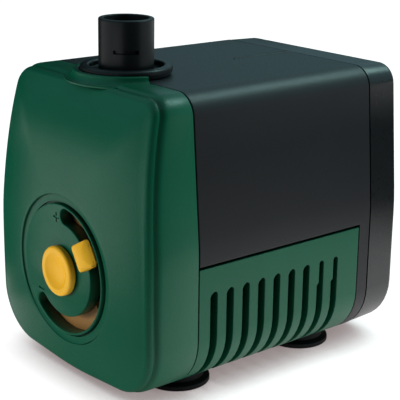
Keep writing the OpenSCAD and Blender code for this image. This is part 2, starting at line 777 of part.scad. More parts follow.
// Chamber cover: an intake drum with a strainer round it, the eye and a spider for the shaft
drum_r = shutter_r;
drum_lap = 0.8;
module chamber_cover() color("dimgray") {
    side_l = y_cover - y_drum - 3.2;
    difference() {
        union() {
            on_axis(y_chamber) linear_extrude(cover_t) difference() {
                circle(r = max(chamber_out, drum_r - drum_lap));
                difference() {
                    circle(r = eye_r);
                    circle(r = hub_r);
                    for (a = [90, 210, 330]) rotate(a) translate([0, -0.9]) square([eye_r + 1, 1.8]);
                }
            }
            on_axis(y_chamber - 0.4) cylinder(r = hub_r - 0.4, h = cover_t + 2);
            difference() {
                on_axis(y_cover) cylinder(r = drum_r, h = y_cover - y_drum);
                on_axis(y_cover + 1) cylinder(r = drum_r - 1.8, h = y_cover - y_drum - 0.6);
                on_axis(y_drum + 3) linear_extrude(4)
                    ring_slice(spindle_r + 5, drum_r - 2.4, -50, 70);
                for (a = [0:30:330]) on_axis(y_cover - 1) rotate([0, 0, a + 15])
                    translate([drum_r - 4, -3, 0]) cube([8, 6, side_l]);
            }
        }
        on_axis(y_chamber + 1) cylinder(r = bush_r, h = cover_t + 2.4);
    }
}

module front_bush() color("black") {
    on_axis(y_chamber) difference() {
        cylinder(r = bush_r, h = cover_t + 1.4);
        translate([0, 0, -1]) cylinder(r = shaft_r, h = cover_t + 1.4);
    }
}

// Fixed shaft, which the rotor turns on
y_shaft0 = y_chamber - cover_t - 0.4;
y_shaft1 = y_well_end - 1;
module rotor_shaft() color("white") {
    on_axis(y_shaft1) cylinder(r = shaft_r, h = y_shaft1 - y_shaft0);
}
module rear_bush() color("black") {
    on_axis(y_well_end) difference() {
        cylinder(r = bush_r, h = bush_l - 1);
        translate([0, 0, 1]) cylinder(r = shaft_r, h = bush_l);
    }
}
module thrust_washers() color("white") {
    for (y = [y_chamber + washer_t, y_well_end - bush_l + 1]) on_axis(y) difference() {
        cylinder(r = bush_r - 2 * fit_gap, h = washer_t);
        translate([0, 0, -1]) cylinder(r = shaft_r + press_gap, h = washer_t + 2);
    }
}

module rotor_well() color("dimgray") {
    difference() {
        union() {
            on_axis(y_well + cover_t) cylinder(r = chamber_out, h = cover_t);
            on_axis(y_well_end + well_wall) cylinder(r = well_out, h = y_well_end + well_wall - y_well);
        }
        on_axis(y_well_end - bush_l + 1) cylinder(r = well_r, h = well_l + 2 * cover_t);
        on_axis(y_well_end) cylinder(r = bush_r, h = bush_l + 4);
        on_axis(y_bulkhead + 1) well_seal_ring(1 + seal_t);
    }
}
seal_t = 0.6;
module well_seal_ring(h) {
    difference() {
        cylinder(r = well_out + 3.4, h = h);
        translate([0, 0, -1]) cylinder(r = well_out + 1.4, h = h + 2);
    }
}
module well_seal() color("black") {
    on_axis(y_bulkhead) well_seal_ring(seal_t);
}

// Rotor: impeller and sleeve in one moulding, magnet on the sleeve
y_sleeve0 = y_chamber + washer_t + part_gap;
y_sleeve1 = y_well_end - bush_l + 1 - washer_t - part_gap;
module impeller() color("darkorange") {
    back = y_well - 1.2;
    front = y_chamber + 2.6;
    difference() {
        union() {
            on_axis(y_sleeve1) cylinder(r = sleeve_r, h = y_sleeve1 - y_sleeve0);
            on_axis(back) cylinder(r = impeller_r - 2, h = 1.4);
            on_axis(back) for (i = [0:blade_count - 1])
                rotate([0, 0, i * 360 / blade_count]) linear_extrude(back - front) intersection() {
                    translate([0, -6]) difference() {
                        circle(r = 12);
                        circle(r = 12 - blade_t);
                    }
                    translate([sleeve_r - 0.4, -6]) square([impeller_r - 1 - sleeve_r, 20]);
                }
        }
        on_axis(y_sleeve1 + 1) cylinder(r = shaft_r + run_gap, h = y_sleeve1 - y_sleeve0 + 2);
    }
}
module rotor_magnet() color("black") {
    on_axis(y_magnet + magnet_l) difference() {
        cylinder(r = magnet_r, h = magnet_l);
        translate([0, 0, -1]) cylinder(r = sleeve_r + 0.02, h = magnet_l + 2);
    }
}

// Stator: U-shaped laminations whose poles embrace the well, and a coil on each leg
pole_h = 17;
core_low = z_axis - pole_h - 1;
coil_low = z_axis + pole_h + 0.4;
core_top = z_top - wall - 3;
coil_top = core_top - yoke_h;
leg_x = core_w / 2 - leg_w;
// The room that the casing leaves for the motor
module motor_space() {
    run_back(y_split, y_joint) {
        outline_above(wall + coil_room, z_line + wall + coil_room);
        trough(wall + coil_room);
    }
}
module stator_core() color("silver") intersection() {
    motor_space();
    run_back(y_core - core_t / 2, y_core + core_t / 2) difference() {
        for (s = [0, 1]) mirror([s, 0]) {
            translate([2, core_low]) square([core_w / 2 - 2, 2 * pole_h + 1]);
            translate([leg_x, core_low]) square([leg_w, core_top - core_low]);
            translate([0, coil_top]) square([core_w / 2, yoke_h]);
        }
        translate([0, z_axis]) circle(r = well_out + fit_gap);
    }
}
module around_legs(grow, z0, z1) {
    for (s = [-1, 1]) translate([s * (leg_x + leg_w / 2), y_core, (z0 + z1) / 2])
        cube([leg_w + 2 * grow, core_t + 2 * grow, z1 - z0], center = true);
}
module coil_bobbins() color("white") intersection() {
    motor_space();
    difference() {
        union() {
            around_legs(bobbin_t + fit_gap, coil_low, coil_top - fit_gap);
            around_legs(bobbin_t + winding_t, coil_low, coil_low + bobbin_t);
            around_legs(bobbin_t + winding_t, coil_top - fit_gap - bobbin_t, coil_top - fit_gap);
        }
        around_legs(fit_gap, coil_low - 1, coil_top + 1);
    }
}
module coil_windings() color("chocolate") intersection() {
    motor_space();
    difference() {
        around_legs(bobbin_t + winding_t - 0.6, coil_low + bobbin_t + fit_gap,
            coil_top - bobbin_t - 2 * fit_gap);
        around_legs(bobbin_t + 2 * fit_gap, coil_low, coil_top);
    }
}

// Layer of resin that seals the motor off behind the coils
module sealing_resin() color("black") difference() {
    run_back(y_joint - resin_back - resin_t, y_joint - resin_back) difference() {
        union() {
            outline_above(wall + fit_gap, z_line + wall + fit_gap);
            trough(wall + fit_gap);
        }
        for (p = screw_spots) translate(p) circle(r = boss_r + fit_gap);
    }
    // In a short casing the well and the coils reach into the resin
    on_axis(y_well_end + well_wall + part_gap) cylinder(r = well_out + fit_gap, h = well_l);
    around_legs(bobbin_t + winding_t + fit_gap, coil_low - fit_gap, coil_top);
}

front_casing();
regulator_knob();
regulator_lever();
regulator_shutter();
motor_casing();
rear_cap();
cap_gasket();
cap_screws();
cord_gland();
intake_grille();
foot_front_left();
foot_front_right();
foot_rear_left();
foot_rear_right();
outlet_nozzle();
outlet_seal();
pump_chamber();
chamber_cover();
chamber_seal();
impeller();
rotor_magnet();
rotor_shaft();
front_bush();
rear_bush();
thrust_washers();
rotor_well();
well_seal();
stator_core();
coil_bobbins();
coil_windings();
sealing_resin();
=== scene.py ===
import math

import bmesh
import bpy
from mathutils import Matrix, Vector


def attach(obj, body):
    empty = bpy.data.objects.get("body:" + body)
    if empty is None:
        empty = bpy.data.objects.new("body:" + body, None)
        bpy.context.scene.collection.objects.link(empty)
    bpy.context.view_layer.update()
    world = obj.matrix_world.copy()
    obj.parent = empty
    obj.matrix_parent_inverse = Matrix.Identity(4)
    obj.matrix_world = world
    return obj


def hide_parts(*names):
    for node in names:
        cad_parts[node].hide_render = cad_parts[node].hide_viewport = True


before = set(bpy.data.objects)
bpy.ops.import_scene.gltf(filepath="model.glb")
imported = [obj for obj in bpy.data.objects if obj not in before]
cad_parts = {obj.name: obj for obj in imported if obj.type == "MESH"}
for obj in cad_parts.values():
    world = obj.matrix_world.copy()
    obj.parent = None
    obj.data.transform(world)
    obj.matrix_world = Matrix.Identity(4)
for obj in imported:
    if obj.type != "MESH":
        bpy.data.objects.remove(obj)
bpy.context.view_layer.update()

print("frame loaded")

mm = 0.001  # sizes below are in millimetres, the scene is in metres
tiny = 0.001  # the radius at a lathe's axis, and the distance within which points are joined
scene = bpy.context.scene


def linearColour(text):
    # an sRGB hex value as linear red, green, blue and alpha
    channels = []
    for i in (1, 3, 5):
        value = int(text[i:i + 2], 16) / 255
        channels.append(value / 12.92 if value <= 0.04045 else ((value + 0.055) / 1.055) ** 2.4)
    return (*channels, 1.0)


def addNode(tree, kind, settings=None, links=None):
    # links maps a socket's name or number to a value or to another node's output
    node = tree.nodes.new(kind)
    for name, value in (settings or {}).items():
        setattr(node, name, value)
    for socket, value in (links or {}).items():
        if isinstance(value, bpy.types.NodeSocket):
            tree.links.new(value, node.inputs[socket])
        else:
            node.inputs[socket].default_value = value
    return node


def addPiece(name, mesh, body, material, replaced):
    piece = bpy.data.objects.new(name, mesh)
    scene.collection.objects.link(piece)
    mesh.materials.clear()
    mesh.materials.append(material)
    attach(piece, body)
    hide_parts(*replaced)


# Camera, floor and light: lengths in millimetres, angles in degrees
view = {
    "target": (1.5, -0.98, 46.66),
    "distance": 373.05,
    "azimuth": 49.64,
    "elevation": 16.79,
    "roll": 1.02,
    "lens": 108.0,
    "sensor": 36.0,
}
room = {
    "floorHalf": 3000,
    "floorColour": "#ffffff",
    "floorBounce": "#9a9896",  # what the floor gives back to the part
    "floorShade": "#b4b2b1",
    "floorLift": 0.98,
    # a shadow painted on the floor near the part: its colour and its reach
    "shadowColour": "#857878",
    "shadowReach": 18,
    "shadowDark": 0.2,  # openness at which the painted shadow is full, and at which it ends
    "shadowEnd": 0.74,
    "poolStrength": 0.75,  # light from the lit floor near the part
    "poolFrom": 110,
    "poolTo": 300,
    "sheenAt": (12, -88, 0),  # gloss shows the floor darker round this point before the face
    "sheenNear": 0.12,
    "sheenFrom": 34,
    "sheenTo": 98,
    "skyColour": "#d5e2ea",
    "skyStrength": 0.12,
    "lampAim": (0, 0, 40),
}
lamps = {
    # where each round lamp stands, its width, power and colour
    "left": ((-420, -830, 90), 420, 5.9, "#ffffff"),
    "right": ((640, 560, 120), 420, 4.6, "#ffffff"),
    "back": ((120, 520, 720), 360, 2.6, "#bfeeea"),
}
cardStep = 6
cards = {
    # standing cards that only gloss shows: from and to in degrees round the part,
    # colour, and pairs of distance and height
    "surround": (95, 245, "#0b0c0d", ((175, 1), (175, 70))),
    "horizon": (-180, 180, "#0b0c0d", ((1500, 60), (1500, 290))),
    "leftHigh": (-125, -46, "#0b0c0d", ((1480, 280), (1440, 620))),
    "canopy": (-180, 180, "#7ea3ab", ((1500, 290), (1350, 900), (900, 1400), (1, 1600))),
    "front": (28, 92, "#0b0c0d", ((105, 1), (105, 170))),
    "frontLow": (4, 28, "#0b0c0d", ((105, 1), (105, 48))),
    "frontLowest": (-50, 4, "#0b0c0d", ((85, 1), (85, 14))),
    "left": (-112, -50, "#0b0c0d", ((105, 1), (105, 160))),
    "leftLow": (-50, -42, "#0b0c0d", ((105, 1), (105, 60))),
    "leftRear": (-150, -112, "#0b0c0d", ((105, 1), (105, 100))),
}


def aimAt(thing, target):
    thing.rotation_euler = (thing.location - target).to_track_quat("Z", "Y").to_euler()


def makeCamera():
    camera = bpy.data.objects.new("camera", bpy.data.cameras.new("camera"))
    scene.collection.objects.link(camera)
    camera.data.lens = view["lens"]
    camera.data.sensor_width = view["sensor"]
    camera.data.clip_start = 0.01
    camera.data.clip_end = 20
    a = math.radians(view["azimuth"])
    e = math.radians(view["elevation"])
    back = Vector((math.sin(a) * math.cos(e), -math.cos(a) * math.cos(e), math.sin(e)))
    target = Vector(view["target"]) * mm
    camera.location = target + back * view["distance"] * mm
    aimAt(camera, target)
    roll = Matrix.Rotation(math.radians(view["roll"]), 3, "Z")
    camera.rotation_euler = (camera.rotation_euler.to_matrix() @ roll).to_euler()
    scene.camera = camera


def seenRays(tree, rays):
    # 1 for what the camera sees, straight or in glass and gloss
    direct = addNode(tree, "ShaderNodeMath", {"operation": "MAXIMUM"}, {
        0: rays.outputs["Is Camera Ray"], 1: rays.outputs["Is Transmission Ray"]})
    return addNode(tree, "ShaderNodeMath", {"operation": "MAXIMUM"}, {
        0: direct.outputs[0], 1: rays.outputs["Is Glossy Ray"]}).outputs[0]


def makePaper():
    # Matt white paper: an even pale floor that takes soft shadows and runs into the backdrop; near the part
    # a shadow is painted into its glow
    paper = bpy.data.materials.new("whitePaperMatt")
    paper.use_nodes = True
    tree = paper.node_tree
    tree.nodes.clear()
    colour = linearColour(room["floorColour"])
    rays = addNode(tree, "ShaderNodeLightPath")
    seen = seenRays(tree, rays)
    matt = addNode(tree, "ShaderNodeBsdfDiffuse", {}, {"Color": linearColour(room["floorBounce"])})
    place = addNode(tree, "ShaderNodeTexCoord")
    distance = addNode(tree, "ShaderNodeVectorMath", {"operation": "LENGTH"}, {0: place.outputs["Object"]})
    pool = addNode(tree, "ShaderNodeMapRange", {"interpolation_type": "SMOOTHSTEP"}, {
        "Value": distance.outputs["Value"], "From Min": room["poolFrom"] * mm,
        "From Max": room["poolTo"] * mm, "To Min": room["poolStrength"], "To Max": 0.0})
    lit = addNode(tree, "ShaderNodeEmission", {}, {"Color": colour, "Strength": pool.outputs[0]})
    bounce = addNode(tree, "ShaderNodeAddShader", {}, {0: matt.outputs[0], 1: lit.outputs[0]})
    shaded = addNode(tree, "ShaderNodeBsdfDiffuse", {}, {"Color": linearColour(room["floorShade"])})
    # painted shadow: the floor's glow turns toward the shadow colour where the part encloses it
    nearness = addNode(tree, "ShaderNodeAmbientOcclusion", {"samples": 8}, {
        "Distance": room["shadowReach"] * mm})
    soft = addNode(tree, "ShaderNodeMapRange", {}, {
        "Value": nearness.outputs["AO"], "From Min": room["shadowDark"], "From Max": room["shadowEnd"]})
    paintedShadowTone = addNode(tree, "ShaderNodeMix", {"data_type": "RGBA"}, {
        0: soft.outputs[0], 6: linearColour(room["shadowColour"]), 7: colour})
    glow = addNode(tree, "ShaderNodeEmission", {}, {
        "Color": paintedShadowTone.outputs[2], "Strength": room["floorLift"]})
    both = addNode(tree, "ShaderNodeAddShader", {}, {0: shaded.outputs[0], 1: glow.outputs[0]})
    away = addNode(tree, "ShaderNodeVectorMath", {"operation": "DISTANCE"}, {
        0: place.outputs["Object"], 1: Vector(room["sheenAt"]) * mm})
    sheen = addNode(tree, "ShaderNodeMapRange", {"interpolation_type": "SMOOTHSTEP"}, {
        "Value": away.outputs["Value"], "From Min": room["sheenFrom"] * mm,
        "From Max": room["sheenTo"] * mm, "To Min": room["sheenNear"], "To Max": room["floorLift"]})
    mirrored = addNode(tree, "ShaderNodeEmission", {}, {
        "Color": paintedShadowTone.outputs[2], "Strength": sheen.outputs[0]})
    plain = addNode(tree, "ShaderNodeMixShader", {}, {
        0: rays.outputs["Is Glossy Ray"], 1: both.outputs[0], 2: mirrored.outputs[0]})
    mixed = addNode(tree, "ShaderNodeMixShader", {}, {0: seen, 1: bounce.outputs[0], 2: plain.outputs[0]})
    addNode(tree, "ShaderNodeOutputMaterial", {}, {0: mixed.outputs[0]})
    return paper


def makeFloor():
    half = room["floorHalf"] * mm
    floor = bpy.data.meshes.new("floor")
    corners = [(-half, -half, 0), (half, -half, 0), (half, half, 0), (-half, half, 0)]
    floor.from_pydata(corners, [], [(0, 1, 2, 3)])
    floor.materials.append(makePaper())
    floorObject = bpy.data.objects.new("floor", floor)
    scene.collection.objects.link(floorObject)


def makeWorld():
    world = bpy.data.worlds.new("paleRoom")
    scene.world = world
    world.use_nodes = True
    tree = world.node_tree
    tree.nodes.clear()
    rays = addNode(tree, "ShaderNodeLightPath")
    seen = seenRays(tree, rays)
    white = addNode(tree, "ShaderNodeBackground", {}, {"Color": (1, 1, 1, 1), "Strength": 1.0})
    soft = addNode(tree, "ShaderNodeBackground", {}, {
        "Color": linearColour(room["skyColour"]), "Strength": room["skyStrength"]})
    mixed = addNode(tree, "ShaderNodeMixShader", {}, {0: seen, 1: soft.outputs[0], 2: white.outputs[0]})
    addNode(tree, "ShaderNodeOutputWorld", {}, {0: mixed.outputs[0]})


def makeCards():
    for name, (start, end, cardColour, profile) in cards.items():
        paint = bpy.data.materials.new(name + "Card")  # a card that glows one even tone, seen only in gloss: a painted reflection
        paint.use_nodes = True
        tree = paint.node_tree
        tree.nodes.clear()
        even = addNode(tree, "ShaderNodeEmission", {}, {"Color": linearColour(cardColour), "Strength": 1.0})
        addNode(tree, "ShaderNodeOutputMaterial", {}, {0: even.outputs[0]})
        steps = max(4, round((end - start) / cardStep))
        count = len(profile)
        vertices = []
        faces = []
        for i in range(steps + 1):
            a = math.radians(start + (end - start) * i / steps)
            for distance, z in profile:
                vertices.append((math.sin(a) * distance * mm, -math.cos(a) * distance * mm, z * mm))
        for i in range(steps):
            for j in range(count - 1):
                k = i * count + j
                faces.append((k, k + count, k + count + 1, k + 1))
        mesh = bpy.data.meshes.new(name + "Card")
        mesh.from_pydata(vertices, [], faces)
        mesh.materials.append(paint)
        card = bpy.data.objects.new(name + "Card", mesh)
        scene.collection.objects.link(card)
        card.visible_camera = False
        card.visible_diffuse = False
        card.visible_shadow = False
        card.visible_transmission = False


def makeLamps():
    for name, (place, width, power, colour) in lamps.items():
        lamp = bpy.data.lights.new(name + "Lamp", "AREA")
        lamp.shape = "DISK"
        lamp.size = width * mm
        lamp.energy = power
        lamp.color = linearColour(colour)[:3]
        lampObject = bpy.data.objects.new(name + "Lamp", lamp)
        scene.collection.objects.link(lampObject)
        lampObject.location = Vector(place) * mm
        lampObject.visible_glossy = name == "back"  # the side lamps leave no glare on the flat walls
        aimAt(lampObject, Vector(room["lampAim"]) * mm)


scene.view_settings.view_transform = "Standard"
makeCamera()
makeFloor()
makeWorld()
makeCards()
makeLamps()
print("camera, floor and lights made")


def newMaterial(name, colour, roughness):
    material = bpy.data.materials.new(name)
    material.use_nodes = True
    tree = material.node_tree
    shader = tree.nodes["Principled BSDF"]
    shader.inputs["Base Color"].default_value = linearColour(colour)
    shader.inputs["Roughness"].default_value = roughness
    return material, tree, shader


def wire(tree, shader, colour, roughness, relief):
    tree.links.new(colour.outputs[2], shader.inputs["Base Color"])
    tree.links.new(roughness.outputs[0], shader.inputs["Roughness"])
    tree.links.new(relief.outputs[0], shader.inputs["Normal"])


moulded = {
    # what the moulded and sintered finishes share
    "ior": 1.53,
    "smoother": 0.05,  # how far the roughness wanders below and above its value
    "rougher": 0.06,
    "paintedShadeReach": 7,  # painted shade: recesses narrower than this are painted darker
    "paintedShadeFrom": 0.1,
    "paintedShadeTo": 0.68,
    "paintedShadeDarkness": 0.12,
}


def grainedSurface(name, values):
    # Moulded or sintered: a cloudy colour, painted shade that darkens it in narrow recesses, and a fine
    # grain.
    # Real grain is nearer 0.2 mm, and grainSize is coarser so that it shows
    material, tree, shader = newMaterial(name, values["colour"], values["roughness"])
    shader.inputs["IOR"].default_value = moulded["ior"]
    shader.inputs["Specular IOR Level"].default_value = values["shine"]
    place = addNode(tree, "ShaderNodeTexCoord")
    cloud = addNode(tree, "ShaderNodeTexNoise", {}, {
        "Vector": place.outputs["Object"], "Scale": 1 / (values["cloudSize"] * mm),
        "Detail": 3.0, "Roughness": 0.55})
    tint = addNode(tree, "ShaderNodeMix", {"data_type": "RGBA"}, {
        0: cloud.outputs["Fac"], 6: linearColour(values["colour"]), 7: linearColour(values["paler"])})
    # painted shade: the colour is darkened where the surface is enclosed, standing in for shade in recesses
    recess = addNode(tree, "ShaderNodeAmbientOcclusion", {"samples": 8}, {
        "Distance": moulded["paintedShadeReach"] * mm})
    openness = addNode(tree, "ShaderNodeMapRange", {}, {
        "Value": recess.outputs["AO"],
        "From Min": moulded["paintedShadeFrom"], "From Max": moulded["paintedShadeTo"]})
    paintedShadeColour = [c * moulded["paintedShadeDarkness"] for c in linearColour(values["colour"])[:3]] + [1]
    paintedShade = addNode(tree, "ShaderNodeMix", {"data_type": "RGBA"}, {
        0: openness.outputs[0], 6: paintedShadeColour, 7: tint.outputs[2]})
    grain = addNode(tree, "ShaderNodeTexNoise", {}, {
        "Vector": place.outputs["Object"], "Scale": 1 / (values["grainSize"] * mm),
        "Detail": 2.0, "Roughness": 0.6})
    matt = addNode(tree, "ShaderNodeMapRange", {}, {
        "Value": grain.outputs["Fac"], "From Min": 0.3, "From Max": 0.7,
        "To Min": values["roughness"] - moulded["smoother"],
        "To Max": values["roughness"] + moulded["rougher"]})
    relief = addNode(tree, "ShaderNodeBump", {}, {
        "Height": grain.outputs["Fac"], "Strength": values["grainStrength"],
        "Distance": values["grainDepth"] * mm})
    wire(tree, shader, paintedShade, matt, relief)
    return material


greenAbs = {
    # dark green ABS, moulded in a spark-eroded tool: satin, with a grain that breaks up highlights
    "colour": "#03523a",
    "paler": "#065a40",
    "roughness": 0.37,
    "shine": 0.36,
    "cloudSize": 14,
    "grainSize": 0.7,
    "grainDepth": 0.06,
    "grainStrength": 0.65,
}
charcoalAbs = {
    # charcoal ABS, moulded in a finely blasted tool: matt and almost even
    "colour": "#18191c",
    "paler": "#1d1f22",
    "roughness": 0.48,
    "shine": 0.5,
    "cloudSize": 18,
    "grainSize": 0.6,
    "grainDepth": 0.04,
    "grainStrength": 0.3,
}
capAbs = {
    # charcoal ABS, moulded in a smoother tool: darker, with soft reflections
    "colour": "#101314",
    "paler": "#14181a",
    "roughness": 0.32,
    "shine": 0.7,
    "cloudSize": 18,
    "grainSize": 0.9,
    "grainDepth": 0.02,
    "grainStrength": 0.12,
}
blackAbs = {
    # black ABS, moulded smooth: soft highlights along the tail and the collar
    "colour": "#141718",
    "paler": "#191d1f",
    "roughness": 0.36,
    "shine": 0.25,
    "cloudSize": 9,
    "grainSize": 0.6,
    "grainDepth": 0.02,
    "grainStrength": 0.2,
}
yellowAcetal = {
    # yellow acetal, moulded: bright and waxy
    "colour": "#fbba1a",
    "paler": "#fec535",
    "roughness": 0.38,
    "shine": 0.4,
    "cloudSize": 6,
    "grainSize": 0.6,
    "grainDepth": 0.02,
    "grainStrength": 0.2,
}
softRubber = {
    # black rubber, moulded: dull, with hardly a reflection
    "colour": "#0c0e0f",
    "paler": "#121415",
    "roughness": 0.55,
    "shine": 0.2,
    "cloudSize": 6,
    "grainSize": 0.5,
    "grainDepth": 0.02,
    "grainStrength": 0.25,
}
tanAcetal = {
    # tan acetal, moulded: waxy, seen through the slot
    "colour": "#a67b46",
    "paler": "#b78b54",
    "roughness": 0.4,
    "shine": 0.4,
    "cloudSize": 6,
    "grainSize": 0.6,
    "grainDepth": 0.02,
    "grainStrength": 0.2,
}
greenPlastic = grainedSurface("greenAbsMouldedGrained", greenAbs)
charcoalPlastic = grainedSurface("charcoalAbsMouldedMatt", charcoalAbs)
capPlastic = grainedSurface("charcoalAbsMouldedSmooth", capAbs)
blackPlastic = grainedSurface("blackAbsMouldedSmooth", blackAbs)
yellowPlastic = grainedSurface("yellowAcetalMoulded", yellowAcetal)
tanPlastic = grainedSurface("tanAcetalMoulded", tanAcetal)
blackRubber = grainedSurface("blackRubberMouldedSoft", softRubber)
print("materials made")


def meshFromRings(name, rings, closed=False):
    # rings are equally long lists of points in millimetres, and faces join each to the next;
    # the last joins the first where closed, otherwise both ends are capped
    count = len(rings[0])
    vertices = [tuple(c * mm for c in p) for ring in rings for p in ring]
    faces = []
    last = len(rings) if closed else len(rings) - 1
    for j in range(last):
        a = j * count
        b = ((j + 1) % len(rings)) * count
        for i in range(count):
            k = (i + 1) % count
            faces.append((a + i, a + k, b + k, b + i))
    if not closed:
        faces.append(tuple(range(count - 1, -1, -1)))
        faces.append(tuple((len(rings) - 1) * count + i for i in range(count)))
    mesh = bpy.data.meshes.new(name)
    mesh.from_pydata(vertices, [], faces)
    mesh.update()
    work = bmesh.new()
    work.from_mesh(mesh)
    bmesh.ops.recalc_face_normals(work, faces=work.faces)
    work.to_mesh(mesh)
    work.free()
    return mesh


def plateFromOutlines(name, outlines, thickness, edge):
    # a flat plate in x and y with holes, centred on z = 0, its edges rounded over
    curve = bpy.data.curves.new(name, "CURVE")
    curve.dimensions = "2D"
    curve.fill_mode = "BOTH"
    curve.extrude = (thickness / 2 - edge) * mm
    curve.bevel_depth = edge * mm
    curve.bevel_resolution = 2
    curve.offset = -edge * mm
    for outline in outlines:
        spline = curve.splines.new("POLY")
        spline.points.add(len(outline) - 1)
        spline.use_cyclic_u = True
        for point, p in zip(spline.points, outline):
            point.co = (p[0] * mm, p[1] * mm, 0, 1)
    source = bpy.data.objects.new(name, curve)
    scene.collection.objects.link(source)
    depsgraph = bpy.context.evaluated_depsgraph_get()
    mesh = bpy.data.meshes.new_from_object(source.evaluated_get(depsgraph))
    bpy.data.objects.remove(source)
    work = bmesh.new()
    work.from_mesh(mesh)
    bmesh.ops.remove_doubles(work, verts=work.verts, dist=tiny * mm)
    bmesh.ops.recalc_face_normals(work, faces=work.faces)
    work.to_mesh(mesh)
    work.free()
    return mesh


def moved(mesh, matrix):
    mesh.transform(matrix)
    if matrix.determinant() < 0:
        mesh.flip_normals()
    return mesh


def combined(base, others, operation):
    # boolean of a mesh with others, returned as a new mesh
    baseObject = bpy.data.objects.new("base", base)
    scene.collection.objects.link(baseObject)
    extras = []
    for other in others:
        otherObject = bpy.data.objects.new("other", other)
        scene.collection.objects.link(otherObject)
        extras.append(otherObject)
        step = baseObject.modifiers.new("step", "BOOLEAN")
        step.operation = operation
        step.object = otherObject
        step.solver = "EXACT"
    depsgraph = bpy.context.evaluated_depsgraph_get()
    result = bpy.data.meshes.new_from_object(baseObject.evaluated_get(depsgraph))
    for extra in extras + [baseObject]:
        bpy.data.objects.remove(extra)
    return result


def smoothed(mesh, angle):
    # smooth shading with the edges over the angle kept sharp
    for face in mesh.polygons:
        face.use_smooth = True
    mesh.set_sharp_from_angle(angle=math.radians(angle))
    return mesh


refining = {
    "flatAngle": 0.6,  # flatter joints between facets are dissolved
    "hardAngle": 40,
    "segments": 2,
    "normalWeight": 90,
}


def refinedCopy(node, width):
    # the node's own shape with its hard edges rounded over by width, or kept sharp where it is 0
    r = refining
    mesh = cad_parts[node].data.copy()
    work = bmesh.new()
    work.from_mesh(mesh)
    bmesh.ops.remove_doubles(work, verts=work.verts, dist=tiny * mm)
    flat = math.radians(r["flatAngle"])
    bmesh.ops.dissolve_limit(work, angle_limit=flat, verts=work.verts, edges=work.edges)
    work.to_mesh(mesh)
    work.free()
    source = bpy.data.objects.new(node, mesh)
    scene.collection.objects.link(source)
    if width:
        bevel = source.modifiers.new("soften", "BEVEL")
        bevel.width = width * mm
        bevel.segments = r["segments"]
        bevel.limit_method = "ANGLE"
        bevel.angle_limit = math.radians(r["hardAngle"])
        bevel.use_clamp_overlap = False
    for face in mesh.polygons:
        face.use_smooth = True
    if not width:
        mesh.set_sharp_from_angle(angle=math.radians(r["hardAngle"]))
    weights = source.modifiers.new("weights", "WEIGHTED_NORMAL")
    weights.keep_sharp = True
    weights.weight = r["normalWeight"]
    depsgraph = bpy.context.evaluated_depsgraph_get()
    result = bpy.data.meshes.new_from_object(source.evaluated_get(depsgraph))
    bpy.data.objects.remove(source)
    return result


# The casing's outline and the places of what sits in it, shared by the pieces below
casing = {
    "width": 75.8,
    "topWidth": 68.0,
    "lowWidth": 76.4,
    "height": 85.5,
    "topRound": 6.6,
    "topSteps": 16,
    "sideRound": 90,
    "sideSteps": 6,
    "lowRound": 16.6,
    "lowSteps": 20,
    "bellyRound": 120,
    "bellySteps": 4,
    "straightParts": 16,
    "sag": 2.4,
    "wall": 2.4,
    "foot": 3.8,
    "sideAt": 46.4,
    "faceAt": -51.65,
    "splitAt": -31.55,
    "axisAt": 34.4,
    "lean": 6.5,  # how far the cover's top leans back, and its foot tucks in
    "leanPower": 4,
    "tuck": 1.2,
}
longStretch = 6  # a straight stretch longer than this is divided


def cornerPoints(before, at, after, radius, steps):
    # the corner at a point between two others, rounded to an arc
    a = Vector(before)
    b = Vector(at)
    c = Vector(after)
    u = (a - b).normalized()
    v = (c - b).normalized()
    half = math.acos(max(-1, min(1, u.dot(v)))) / 2
    centre = b + (u + v).normalized() * radius / math.sin(half)
    start = b + u * radius / math.tan(half) - centre
    end = b + v * radius / math.tan(half) - centre
    turn = (math.pi - 2 * half) * (1 if start.x * end.y - start.y * end.x > 0 else -1)
    points = []
    for i in range(steps + 1):
        t = turn * i / steps
        points.append((centre.x + start.x * math.cos(t) - start.y * math.sin(t),
                       centre.y + start.x * math.sin(t) + start.y * math.cos(t)))
    return points


def casingOutline(inset):
    c = casing
    low = c["foot"]
    top = low + c["height"]
    corners = [
        ((c["topWidth"] / 2 - inset, top - inset), max(c["topRound"] - inset, 1), c["topSteps"]),
        ((c["width"] / 2 - inset, c["sideAt"]), c["sideRound"], c["sideSteps"]),
        ((c["lowWidth"] / 2 - inset, low + inset), max(c["lowRound"] - inset, 3), c["lowSteps"]),
        ((0, low - c["sag"] + inset), c["bellyRound"], c["bellySteps"]),
    ]
    corners += [((-p[0], p[1]), r, n) for p, r, n in reversed(corners[:3])]
    points = []
    for i in range(len(corners)):
        before = corners[i - 1][0]
        after = corners[(i + 1) % len(corners)][0]
        points += cornerPoints(before, corners[i][0], after, corners[i][1], corners[i][2])
    return evenly(points, c["straightParts"])


def evenly(points, parts):
    # divides each long straight stretch into the same number of parts, so that rings match
    result = []
    for i, p in enumerate(points):
        q = points[(i + 1) % len(points)]
        result.append(p)
        if math.dist(p, q) > longStretch:
            for k in range(1, parts):
                result.append((p[0] + (q[0] - p[0]) * k / parts, p[1] + (q[1] - p[1]) * k / parts))
    return result


def setBack(z, share):
    # how far back the cover's front stands at a height
    t = min(max((z - casing["foot"]) / casing["height"], 0), 1)
    return share * (casing["lean"] * t ** casing["leanPower"] + casing["tuck"] * (1 - t) ** 2)


def casingRing(y, inset=0.0, share=0.0):
    # the casing's outline at y, with a share of the front's lean
    return [(x, y + setBack(z, share), z) for x, z in casingOutline(inset)]


